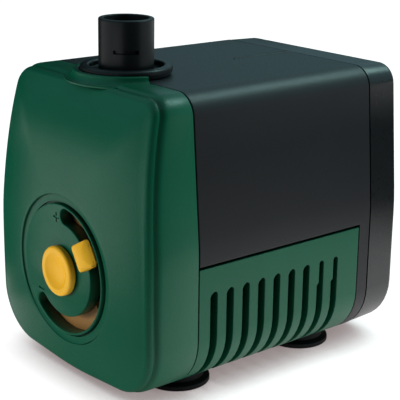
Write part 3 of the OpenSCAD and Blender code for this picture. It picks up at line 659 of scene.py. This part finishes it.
cover = {
    "creaseAt": -47.35,
    "creaseDepth": 1.1,
    "creaseProfile": (
        # distance behind the crease and share of its depth
        (3.4, 0), (2.4, 0.02), (1.8, 0.06), (1.3, 0.15), (0.9, 0.33), (0.6, 0.55), (0.3, 0.82),
        (0.05, 0.98), (-0.1, 1.0), (-0.25, 0.94), (-0.4, 0.82)),
    "plateSide": 0.5,
    "plateProud": 0.35,
    "plateRound": 1.9,
    "crownAt": 45.8,
    "crownPower": 3.5,
    "faceSteps": 14,
    "wall": 2.4,
    "skinSteps": 8,
    "skinFrom": 0.8,  # the inner skin's edge behind the crease, then where it joins the side walls
    "skinTo": 2.6,
    "skinEase": 0.3,
    "partGap": 0.3,
    "edge": 0.25,
}
dial = {
    # the sunk dial on the face: groove, moat, and a disc with the lever's slot
    "radius": 22.3,
    "groove": 2.8,
    "grooveEdge": 0.3,
    "floorAt": -50.45,
    "floorEdge": 0.3,
    "frontAt": -51.45,
    "backAt": -47.65,
    "backGap": 0.05,
    "skinLap": 0.6,
    "moatWidth": 0.6,
    "moatDepth": 0.6,
    "discLap": 0.8,
    "slotRadius": 16.4,
    "slotWidth": 4.8,
    "slotFrom": 84,
    "slotTo": -130,
    "hole": 3.1,
    "edge": 0.3,
}
marks = {
    # a plus and a minus sunk into the dial beside the slot's ends, from the dial's middle
    "plusAt": (-2.6, 15.3),
    "minusAt": (-11.1, -8.9),
    "size": 2.9,
    "stroke": 0.6,
    "depth": 0.3,
}
outlet = {
    # where the outlet passes the cover's top, and the seat round its collar
    "at": -28.35,
    "top": 89.3,
    "hole": 9.8,
    "cutReach": 8,
    "cutWidth": 60,
    "seatInner": 13.7,
    "seatWall": 1.7,
    "seatHeight": 1.7,
    "seatLow": -1.2,
    "seatEdge": 0.3,
    "seatFlare": 2.4,
    "seatFoot": 0.8,
}


def dialCircle(edge, radius):
    # where rays from the crown through the edge's points meet a circle round the dial: scale and angle
    places = []
    c = cover["crownAt"] - casing["axisAt"]
    for x, y, z in edge:
        dz = z - cover["crownAt"]
        length = x * x + dz * dz
        s = (-c * dz + math.sqrt(c * c * dz * dz - length * (c * c - radius * radius))) / length
        places.append((s, math.atan2(c + dz * s, x * s)))
    return places


def crownPoint(p, pole, s):
    # a point of the dome over an edge point, scaled by s from the crown
    z = cover["crownAt"]
    return (p[0] * s, pole + (p[1] - pole) * s ** cover["crownPower"], z + (p[2] - z) * s)


def circleRing(angles, radius, y):
    # a circle round the dial's axis
    z = casing["axisAt"]
    return [(radius * math.cos(a), y, z + radius * math.sin(a)) for a in angles]


def sideRings():
    # from the rear edge over the crease to the rounded edge of the face
    c = cover
    crease = c["creaseAt"]
    rear = casing["splitAt"] - c["partGap"]
    rings = []
    for back, inset in ((0, c["edge"]), (c["edge"] * 0.3, c["edge"] * 0.3), (c["edge"], 0)):
        rings.append(casingRing(rear - back, inset))
    for back, share in c["creaseProfile"]:
        rings.append(casingRing(crease + back, share * c["creaseDepth"], 1))
    plate = crease - c["plateSide"]
    inset = c["creaseDepth"] - c["plateProud"]
    r = c["plateRound"]
    for i in range(10):
        a = math.radians(i * 10)
        rings.append(casingRing(plate - r * math.sin(a), inset + r * (1 - math.cos(a)), 1))
    return rings


def faceRings(edge, places, angles):
    # the domed face, down to the rounded edge of the groove
    face = casing["faceAt"]
    rings = []
    for i in range(1, cover["faceSteps"] + 1):
        t = i / cover["faceSteps"]
        rings.append([crownPoint(p, face, 1 - t * (1 - place[0])) for p, place in zip(edge, places)])
    lip = rings[-1]
    e = dial["grooveEdge"]
    for a in (22.5, 45, 67.5, 90):
        a = math.radians(a)
        ring = circleRing(angles, dial["radius"] + e - e * math.sin(a), 0)
        rings.append([(q[0], p[1] + e * (1 - math.cos(a)), q[2]) for p, q in zip(lip, ring)])
    return rings


def grooveRings(angles):
    # the groove's wall and floor, the moat round the disc and the back of the dial plate
    d = dial
    wall = d["radius"]
    foot = wall - d["groove"] + d["moatWidth"]
    inner = wall - d["groove"] - d["discLap"]
    e = d["floorEdge"]
    floor = d["floorAt"]
    moat = floor + d["moatDepth"]
    back = d["backAt"] - d["backGap"]
    profile = (
        (wall, floor - e), (wall - e / 3, floor - e / 3), (wall - e, floor), (foot, floor),
        (foot, moat), (inner, moat), (inner, back), (wall + d["skinLap"], back))
    return [circleRing(angles, radius, y) for radius, y in profile]


def skinRings():
    # the inner skin, from the dial plate to the rear edge
    c = cover
    crease = c["creaseAt"]
    edge = casingRing(crease + c["skinFrom"], c["creaseDepth"] + c["wall"], 1)
    places = dialCircle(edge, dial["radius"] + dial["skinLap"])
    pole = casing["faceAt"] + c["wall"]
    rings = []
    for i in range(c["skinSteps"] + 1):
        t = i / c["skinSteps"]
        rings.append([crownPoint(p, pole, q[0] + (1 - q[0]) * t) for p, q in zip(edge, places)])
    rings.append(casingRing(crease + c["skinTo"], c["wall"] + c["skinEase"], 1))
    rings.append(casingRing(casing["splitAt"] - c["partGap"], c["wall"]))
    return rings


def coverShell():
    rings = sideRings()
    edge = rings[-1]
    places = dialCircle(edge, dial["radius"] + dial["grooveEdge"])
    angles = [a for s, a in places]
    rings += faceRings(edge, places, angles) + grooveRings(angles) + skinRings()
    return meshFromRings("coverShell", rings, closed=True)


def polar(radius, angle, middle=(0, 0)):
    a = math.radians(angle)
    return (middle[0] + radius * math.cos(a), middle[1] + radius * math.sin(a))


def arcSlot(radius, width, start, end, steps, endSteps=16):
    # a curved slot's outline: outer arc, round end, inner arc, round end
    half = width / 2
    turn = 1 if end > start else -1
    points = [polar(radius + half, start + (end - start) * i / steps) for i in range(steps + 1)]
    for i in range(1, endSteps):
        points.append(polar(half, end + turn * i * 180 / endSteps, polar(radius, end)))
    points += [polar(radius - half, end + (start - end) * i / steps) for i in range(steps + 1)]
    for i in range(1, endSteps):
        points.append(polar(half, start + 180 + turn * i * 180 / endSteps, polar(radius, start)))
    return points


def circleOutline(radius, count):
    return [polar(radius, 360 * i / count) for i in range(count)]


onAxis = Matrix(((1, 0, 0, 0), (0, 0, -1, 0), (0, 1, 0, casing["axisAt"] * mm), (0, 0, 0, 1)))


def dialDisc():
    radius = dial["radius"] - dial["groove"]
    slotOutline = arcSlot(dial["slotRadius"], dial["slotWidth"], dial["slotTo"], dial["slotFrom"], 96)
    outlines = [circleOutline(radius, 144), slotOutline[::-1], circleOutline(dial["hole"], 48)[::-1]]
    disc = plateFromOutlines("dialDisc", outlines, dial["backAt"] - dial["frontAt"], dial["edge"])
    middle = (dial["backAt"] + dial["frontAt"]) / 2
    return moved(disc, Matrix.Translation((0, middle * mm, 0)) @ onAxis)


def lathe(name, profile, count=128):
    # turns a closed profile of radius and height about z
    rings = [[(*point, z) for point in circleOutline(r, count)] for r, z in profile]
    return meshFromRings(name, rings, closed=True)


def block(low, high):
    mesh = bpy.data.meshes.new("block")
    work = bmesh.new()
    bmesh.ops.create_cube(work, size=1)
    for v in work.verts:
        v.co = Vector([(a + (b - a) * (c + 0.5)) * mm for a, b, c in zip(low, high, v.co)])
    work.to_mesh(mesh)
    work.free()
    return mesh


def at(mesh, x, y, z):
    mesh.transform(Matrix.Translation((x * mm, y * mm, z * mm)))
    return mesh


def makeSeat():
    # a ring standing on the cover's top, its foot swept out and its top edges rounded
    o = outlet
    inner = o["seatInner"]
    outer = inner + o["seatWall"]
    flare = o["seatFlare"]
    edge = o["seatEdge"]
    shoulder = o["seatHeight"] - edge
    rise = shoulder + o["seatFoot"]
    profile = [(inner, o["seatLow"]), (outer + flare, o["seatLow"])]
    for i in range(8):
        a = math.radians(i * 11.25)
        profile.append((outer + flare * (1 - math.sin(a)), shoulder - rise * math.cos(a)))
    profile += [polar(edge, i * 22.5, (outer - edge, shoulder)) for i in range(5)]
    profile += [polar(edge, 90 + i * 22.5, (inner + edge, shoulder)) for i in range(5)]
    return at(lathe("seat", profile), 0, o["at"], o["top"])


def markCutters():
    m = marks
    long = m["size"] / 2
    short = m["stroke"] / 2
    bars = ((m["plusAt"], long, short), (m["plusAt"], short, long), (m["minusAt"], long, short))
    front = dial["frontAt"]
    z = casing["axisAt"]
    return [block((p[0] - a, front - 1, z + p[1] - b), (p[0] + a, front + m["depth"], z + p[1] + b))
            for p, a, b in bars]


def makeCover():
    shell = combined(coverShell(), [dialDisc()], "UNION")
    o = outlet
    reach = o["cutReach"]
    half = o["cutWidth"] / 2
    rear = casing["splitAt"] - cover["partGap"]
    behind = block((-half, rear, o["top"] - reach), (half, 0, o["top"] + reach))
    seat = combined(makeSeat(), [behind], "DIFFERENCE")
    shell = combined(shell, [seat], "UNION")
    profile = [(tiny, -reach), (o["hole"], -reach), (o["hole"], reach), (tiny, reach)]
    hole = at(lathe("hole", profile, 96), 0, o["at"], o["top"])
    shell = combined(shell, [hole] + markCutters(), "DIFFERENCE")
    return smoothed(shell, 30)


addPiece("frontCover", makeCover(), "front_cover", greenPlastic, ["front_casing"])
print("front cover made")


knob = {
    # round, and hollowed in front
    "radius": 7.4,
    "backAt": -51.75,
    "frontAt": -53.85,
    "hollow": 5.4,
    "hollowDepth": 1.5,
    "bowlPower": 2.6,
    "bowlSteps": 10,
    "bowlStart": 0.97,  # share of the hollow where the bowl leaves its rounded rim
    "bowlTip": 0.02,
    "edge": 0.8,
    "rimEdge": 0.45,
    "backEdge": 0.2,
    "stub": 3.0,
    "stubLength": 1.4,
}
lever = {
    # beyond the knob, with a stem in the slot
    "from": 11.8,
    "to": 18.6,
    "angle": 32,
    "width": 8.0,
    "height": 2.5,
    "innerCorner": 1.4,
    "outerCorner": 1.0,
    "leastCorner": 0.3,
    "crown": 5.5,
    "crownAt": 14.1,
    "crownRings": (0.9, 0.75, 0.58, 0.4, 0.22, 0.08),
    "edge": 0.5,
    "edgeShare": 0.8,  # most that the rounded edge takes of a low end
    "backAt": -51.75,
    "stem": 4.2,
    "stemTurn": 3.15,
    "stemLap": 0.1,
}


def roundedCorners(profile, steps=6):
    # each entry is a point, or a point with the radius its corner is rounded to
    points = []
    for i, entry in enumerate(profile):
        if len(entry) == 2:
            points.append(entry)
            continue
        before = profile[i - 1][:2]
        after = profile[(i + 1) % len(profile)][:2]
        points += cornerPoints(before, entry[:2], after, entry[2], steps)
    return points


def makeKnob():
    k = knob
    h = k["backAt"] - k["frontAt"]
    low = -k["stubLength"]
    bowl = []
    for i in range(k["bowlSteps"] + 1):
        r = k["hollow"] * (1 - i / k["bowlSteps"]) * k["bowlStart"]
        depth = k["hollowDepth"] * (1 - (r / k["hollow"]) ** k["bowlPower"])
        bowl.append((max(r, k["bowlTip"]), h - depth))
    profile = roundedCorners([
        (k["bowlTip"], low), (k["stub"], low), (k["stub"], 0), (k["radius"], 0, k["backEdge"]),
        (k["radius"], h, k["edge"]), (k["hollow"], h, k["rimEdge"])] + bowl)
    mesh = lathe("regulatorKnob", profile, 96)
    return smoothed(moved(mesh, Matrix.Translation((0, k["backAt"] * mm, 0)) @ onAxis), 40)


def makeLever():
    v = lever

    def outline(inset):
        a = v["from"] + inset
        b = v["to"] - inset
        c = v["width"] / 2 - inset
        p = max(v["innerCorner"] - inset, v["leastCorner"])
        q = max(v["outerCorner"] - inset, v["leastCorner"])
        return evenly(roundedCorners([(a, -c, p), (b, -c, q), (b, c, q), (a, c, p)]), 8)

    def height(r):
        return v["height"] - v["crown"] + math.sqrt(v["crown"] ** 2 - (r - v["crownAt"]) ** 2)

    rings = [[(x, y, 0) for x, y in outline(0)]]
    e = v["edge"]
    for i in range(6):
        a = math.radians(i * 18)
        ring = []
        for x, y in outline(e * (1 - math.cos(a))):
            h = height(x)
            ring.append((x, y, h - e * (1 - math.sin(a)) * min(1, h / e * v["edgeShare"])))
        rings.append(ring)
    edge = rings[-1]
    middle = (v["from"] + v["to"]) / 2
    for s in v["crownRings"]:
        ring = []
        for x, y, z in edge:
            r = middle + (x - middle) * s
            ring.append((r, y * s, height(r)))
        rings.append(ring)
    mesh = meshFromRings("regulatorLever", rings)
    stem = arcSlot(dial["slotRadius"], v["stem"], -v["stemTurn"], v["stemTurn"], 6)
    ends = (-knob["stubLength"], v["stemLap"])
    stub = meshFromRings("leverStem", [[(x, y, z) for x, y in stem] for z in ends])
    mesh = combined(mesh, [stub], "UNION")
    turn = Matrix.Rotation(math.radians(v["angle"]), 4, "Z")
    return smoothed(moved(mesh, Matrix.Translation((0, v["backAt"] * mm, 0)) @ onAxis @ turn), 40)


addPiece("regulatorKnob", makeKnob(), "regulator", yellowPlastic, ["regulator_knob"])
addPiece("regulatorLever", makeLever(), "regulator", yellowPlastic, ["regulator_lever"])
print("regulator made")


nozzle = {
    "tail": 8.0,
    "bore": 6.5,
    "height": 16.1,
    "collar": 13.4,
    "collarHeight": 2.9,
    "bead": 1.9,
    "rim": 2.8,
    "dish": 1.8,
    "socket": 10.0,
    "foot": 9.5,
    "footLow": -0.1,
    "skirtLow": 0.3,
    "skirtStep": 0.5,
    "notchTurns": (-37, 143),  # moulded notches on two sides of the tail
    "notchHalf": 27,
    "notchDeep": 0.8,
    "notchBelow": 9.4,
    "notchHeight": 1.1,
}


def makeNozzle():
    n = nozzle
    skirt = n["collar"] - n["skirtStep"]
    rim = n["collar"] - n["rim"]
    dish = n["collarHeight"] - n["dish"]
    low = n["collarHeight"] - n["bead"]
    top = n["collarHeight"]
    profile = roundedCorners([
        (n["bore"], -n["socket"]), (n["tail"], -n["socket"], 0.3), (n["tail"], n["footLow"]),
        (n["foot"], n["footLow"]), (n["foot"], n["skirtLow"]), (skirt, n["skirtLow"], 0.2),
        (skirt, low), (n["collar"], low, 0.35),
        (n["collar"], top, 0.95), (rim, top, 0.75), (rim, dish, 0.3), (n["tail"], dish, 0.4),
        (n["tail"], n["height"], 0.45), (n["bore"], n["height"], 0.3)])
    mesh = lathe("outletNozzle", profile, 160)
    notches = []
    for turn in n["notchTurns"]:
        half = n["notchHalf"]
        points = [polar(n["tail"] - n["notchDeep"], turn + a) for a in range(-half, half + 1, 3)]
        points += [polar(n["tail"] + 1, turn + a) for a in range(half, -half - 1, -3)]
        z = n["height"] - n["notchBelow"]
        ends = (z, z + n["notchHeight"])
        notches.append(meshFromRings("notch", [[(x, y, end) for x, y in points] for end in ends]))
    mesh = combined(mesh, notches, "DIFFERENCE")
    return smoothed(at(mesh, 0, outlet["at"], outlet["top"]), 35)


addPiece("outletNozzle", makeNozzle(), "housing", blackPlastic, ["outlet_nozzle"])
print("outlet made")


# Pieces shown in the CAD's own shape: node, width of the rounded edges, slot and material
refined = {
    "motorCasing": ("motor_casing", 0.25, "charcoal_plastic", charcoalPlastic),
    "intakeGrille": ("intake_grille", 0.2, "green_plastic", greenPlastic),
    "rearCap": ("rear_cap", 0, "charcoal_plastic", capPlastic),
    "cordGland": ("cord_gland", 0.3, "black_rubber", blackRubber),
}
for end in ("front", "rear"):
    for side in ("left", "right"):
        name = "foot" + end.title() + side.title()
        refined[name] = ("foot_" + end + "_" + side, 0.15, "black_rubber", blackRubber)
for name, (node, width, slotName, material) in refined.items():
    addPiece(name, refinedCopy(node, width), "housing", material, [node])
print("casing, grille, cap and feet made")


# Finishes of the inner pieces
wavePeriod = 0.314  # length after which a wave texture of scale 1 repeats
steel = {
    "colour": "#b9bcc0",
    "darker": "#8f9398",
    "roughness": 0.28,
    "smoother": 0.08,
    "rougher": 0.12,
    "cloudSize": 1.5,
    "ringPitch": 0.35,  # turning marks are nearer 0.1 mm, drawn coarser so that they show
    "ringDepth": 0.01,
    "ringStrength": 0.5,
}
laminations = {
    "colour": "#7c8085",
    "darker": "#43464b",
    "roughness": 0.42,
    "smoother": 0.1,
    "rougher": 0.15,
    "cloudSize": 4,
    "sheet": 0.5,
    "jointShare": 0.2,
    "jointDepth": 0.06,
    "jointStrength": 0.6,
}
copper = {
    "colour": "#b5622d",
    "darker": "#7c3a17",
    "roughness": 0.3,
    "smoother": 0.08,
    "rougher": 0.1,
    "cloudSize": 2,
    "wire": 0.4,
    "wireDepth": 0.12,
    "wireStrength": 0.8,
    "coat": 0.6,
    "coatRoughness": 0.15,
}
ferrite = {
    # ferrite, sintered and ground: dark grey with a crystalline speckle
    "colour": "#2b2c2e",
    "paler": "#3a3b3e",
    "roughness": 0.48,
    "shine": 0.6,
    "cloudSize": 2.5,
    "grainSize": 0.35,
    "grainDepth": 0.03,
    "grainStrength": 0.4,
}
alumina = {
    # alumina, sintered and polished: off-white, with a tight highlight
    "colour": "#e6e3da",
    "paler": "#f1efe8",
    "roughness": 0.22,
    "shine": 0.6,
    "cloudSize": 3,
    "grainSize": 0.3,
    "grainDepth": 0.005,
    "grainStrength": 0.15,
}
orangePolypropylene = {
    # orange polypropylene, moulded: waxy and slightly cloudy
    "colour": "#c9641c",
    "paler": "#d8752b",
    "roughness": 0.4,
    "shine": 0.45,
    "cloudSize": 5,
    "grainSize": 0.5,
    "grainDepth": 0.02,
    "grainStrength": 0.25,
}
ivoryNylon = {
    # ivory nylon, moulded: satin and slightly cloudy
    "colour": "#d9d3c0",
    "paler": "#e6e1d2",
    "roughness": 0.38,
    "shine": 0.45,
    "cloudSize": 6,
    "grainSize": 0.5,
    "grainDepth": 0.02,
    "grainStrength": 0.25,
}
greyPolypropylene = {
    # dark grey polypropylene, moulded: waxy satin
    "colour": "#24272a",
    "paler": "#2d3134",
    "roughness": 0.4,
    "shine": 0.4,
    "cloudSize": 8,
    "grainSize": 0.5,
    "grainDepth": 0.02,
    "grainStrength": 0.25,
}
epoxy = {
    "colour": "#0b0c0e",
    "paler": "#14161a",
    "ior": 1.55,
    "roughness": 0.2,
    "smoother": 0.06,
    "rougher": 0.12,
    "rippleSize": 9,
    "rippleDepth": 0.12,
    "rippleStrength": 0.4,
    "bubbleSize": 2.2,
    "bubbleDepth": 0.15,
    "bubbleStrength": 0.6,
}


def turnedSteel(name, values):
    # Stainless steel turned on a lathe: bright grey metal with fine rings round its axis
    material, tree, shader = newMaterial(name, values["colour"], values["roughness"])
    shader.inputs["Metallic"].default_value = 1.0
    place = addNode(tree, "ShaderNodeTexCoord")
    rings = addNode(tree, "ShaderNodeTexWave", {"bands_direction": "Y"}, {
        "Vector": place.outputs["Object"], "Scale": wavePeriod / (values["ringPitch"] * mm),
        "Distortion": 0.6, "Detail": 2.0})
    cloud = addNode(tree, "ShaderNodeTexNoise", {}, {
        "Vector": place.outputs["Object"], "Scale": 1 / (values["cloudSize"] * mm), "Detail": 3.0})
    tint = addNode(tree, "ShaderNodeMix", {"data_type": "RGBA"}, {
        0: cloud.outputs["Fac"], 6: linearColour(values["colour"]), 7: linearColour(values["darker"])})
    matt = addNode(tree, "ShaderNodeMapRange", {}, {
        "Value": cloud.outputs["Fac"],
        "To Min": values["roughness"] - values["smoother"],
        "To Max": values["roughness"] + values["rougher"]})
    relief = addNode(tree, "ShaderNodeBump", {}, {
        "Height": rings.outputs["Fac"], "Strength": values["ringStrength"],
        "Distance": values["ringDepth"] * mm})
    wire(tree, shader, tint, matt, relief)
    return material


def stackedSheets(name, values):
    # Silicon steel punched into sheets and stacked: grey metal with a dark joint at each sheet
    material, tree, shader = newMaterial(name, values["colour"], values["roughness"])
    shader.inputs["Metallic"].default_value = 1.0
    place = addNode(tree, "ShaderNodeTexCoord")
    sheets = addNode(tree, "ShaderNodeTexWave", {"bands_direction": "Y", "wave_profile": "SAW"}, {
        "Vector": place.outputs["Object"], "Scale": wavePeriod / (values["sheet"] * mm), "Distortion": 0.0})
    joints = addNode(tree, "ShaderNodeMapRange", {}, {
        "Value": sheets.outputs["Fac"], "From Min": 0.0, "From Max": values["jointShare"]})
    cloud = addNode(tree, "ShaderNodeTexNoise", {}, {
        "Vector": place.outputs["Object"], "Scale": 1 / (values["cloudSize"] * mm), "Detail": 4.0})
    tint = addNode(tree, "ShaderNodeMix", {"data_type": "RGBA"}, {
        0: joints.outputs[0], 6: linearColour(values["darker"]), 7: linearColour(values["colour"])})
    matt = addNode(tree, "ShaderNodeMapRange", {}, {
        "Value": cloud.outputs["Fac"],
        "To Min": values["roughness"] - values["smoother"],
        "To Max": values["roughness"] + values["rougher"]})
    relief = addNode(tree, "ShaderNodeBump", {}, {
        "Height": joints.outputs[0], "Strength": values["jointStrength"],
        "Distance": values["jointDepth"] * mm})
    wire(tree, shader, tint, matt, relief)
    return material


def woundCopper(name, values):
    # Enamelled copper wire wound in layers: orange metal turns under a clear lacquer
    material, tree, shader = newMaterial(name, values["colour"], values["roughness"])
    shader.inputs["Metallic"].default_value = 1.0
    shader.inputs["Coat Weight"].default_value = values["coat"]
    shader.inputs["Coat Roughness"].default_value = values["coatRoughness"]
    place = addNode(tree, "ShaderNodeTexCoord")
    turns = addNode(tree, "ShaderNodeTexWave", {"bands_direction": "Y"}, {
        "Vector": place.outputs["Object"], "Scale": wavePeriod / (values["wire"] * mm),
        "Distortion": 0.4, "Detail": 1.0})
    tint = addNode(tree, "ShaderNodeMix", {"data_type": "RGBA"}, {
        0: turns.outputs["Fac"], 6: linearColour(values["darker"]), 7: linearColour(values["colour"])})
    cloud = addNode(tree, "ShaderNodeTexNoise", {}, {
        "Vector": place.outputs["Object"], "Scale": 1 / (values["cloudSize"] * mm), "Detail": 2.0})
    matt = addNode(tree, "ShaderNodeMapRange", {}, {
        "Value": cloud.outputs["Fac"],
        "To Min": values["roughness"] - values["smoother"],
        "To Max": values["roughness"] + values["rougher"]})
    relief = addNode(tree, "ShaderNodeBump", {}, {
        "Height": turns.outputs["Fac"], "Strength": values["wireStrength"],
        "Distance": values["wireDepth"] * mm})
    wire(tree, shader, tint, matt, relief)
    return material


def pouredResin(name, values):
    # Black epoxy poured and cured: glossy, with slow ripples and a few sunk bubbles
    material, tree, shader = newMaterial(name, values["colour"], values["roughness"])
    shader.inputs["IOR"].default_value = values["ior"]
    place = addNode(tree, "ShaderNodeTexCoord")
    ripple = addNode(tree, "ShaderNodeTexNoise", {}, {
        "Vector": place.outputs["Object"], "Scale": 1 / (values["rippleSize"] * mm), "Detail": 2.0})
    cells = addNode(tree, "ShaderNodeTexVoronoi", {}, {
        "Vector": place.outputs["Object"], "Scale": 1 / (values["bubbleSize"] * mm)})
    bubbles = addNode(tree, "ShaderNodeMapRange", {"interpolation_type": "SMOOTHSTEP"}, {
        "Value": cells.outputs["Distance"], "From Min": 0.05, "From Max": 0.16})
    tint = addNode(tree, "ShaderNodeMix", {"data_type": "RGBA"}, {
        0: ripple.outputs["Fac"], 6: linearColour(values["colour"]), 7: linearColour(values["paler"])})
    matt = addNode(tree, "ShaderNodeMapRange", {}, {
        "Value": ripple.outputs["Fac"],
        "To Min": values["roughness"] - values["smoother"],
        "To Max": values["roughness"] + values["rougher"]})
    relief = addNode(tree, "ShaderNodeBump", {}, {
        "Height": ripple.outputs["Fac"], "Strength": values["rippleStrength"],
        "Distance": values["rippleDepth"] * mm})
    pits = addNode(tree, "ShaderNodeBump", {}, {
        "Height": bubbles.outputs[0], "Strength": values["bubbleStrength"],
        "Distance": values["bubbleDepth"] * mm, "Normal": relief.outputs[0]})
    wire(tree, shader, tint, matt, pits)
    return material


steelScrews = turnedSteel("stainlessSteelTurned", steel)
steelSheets = stackedSheets("siliconSteelStacked", laminations)
copperTurns = woundCopper("enamelledCopperWound", copper)
blackEpoxy = pouredResin("blackEpoxyPoured", epoxy)
magnetFerrite = grainedSurface("ferriteGround", ferrite)
whiteCeramic = grainedSurface("aluminaPolished", alumina)
orangePlastic = grainedSurface("orangePolypropyleneMoulded", orangePolypropylene)
ivoryPlastic = grainedSurface("ivoryNylonMoulded", ivoryNylon)
greyPlastic = grainedSurface("greyPolypropyleneMoulded", greyPolypropylene)

inside = {
    "regulator_shutter": tanPlastic,
    "cap_gasket": blackRubber,
    "cap_screws": steelScrews,
    "outlet_seal": blackRubber,
    "chamber_seal": blackRubber,
    "well_seal": blackRubber,
    "front_bush": blackRubber,
    "rear_bush": blackRubber,
    "pump_chamber": greyPlastic,
    "chamber_cover": greyPlastic,
    "rotor_well": greyPlastic,
    "impeller": orangePlastic,
    "rotor_magnet": magnetFerrite,
    "rotor_shaft": whiteCeramic,
    "thrust_washers": whiteCeramic,
    "stator_core": steelSheets,
    "coil_bobbins": ivoryPlastic,
    "coil_windings": copperTurns,
    "sealing_resin": blackEpoxy,
}
outside = {node: material for node, width, slotName, material in refined.values()}
outside.update(front_casing=greenPlastic, outlet_nozzle=blackPlastic)
outside.update(regulator_knob=yellowPlastic, regulator_lever=yellowPlastic)
for node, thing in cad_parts.items():
    thing.data.materials.clear()
    thing.data.materials.append(inside.get(node) or outside[node])
print("inner parts painted")
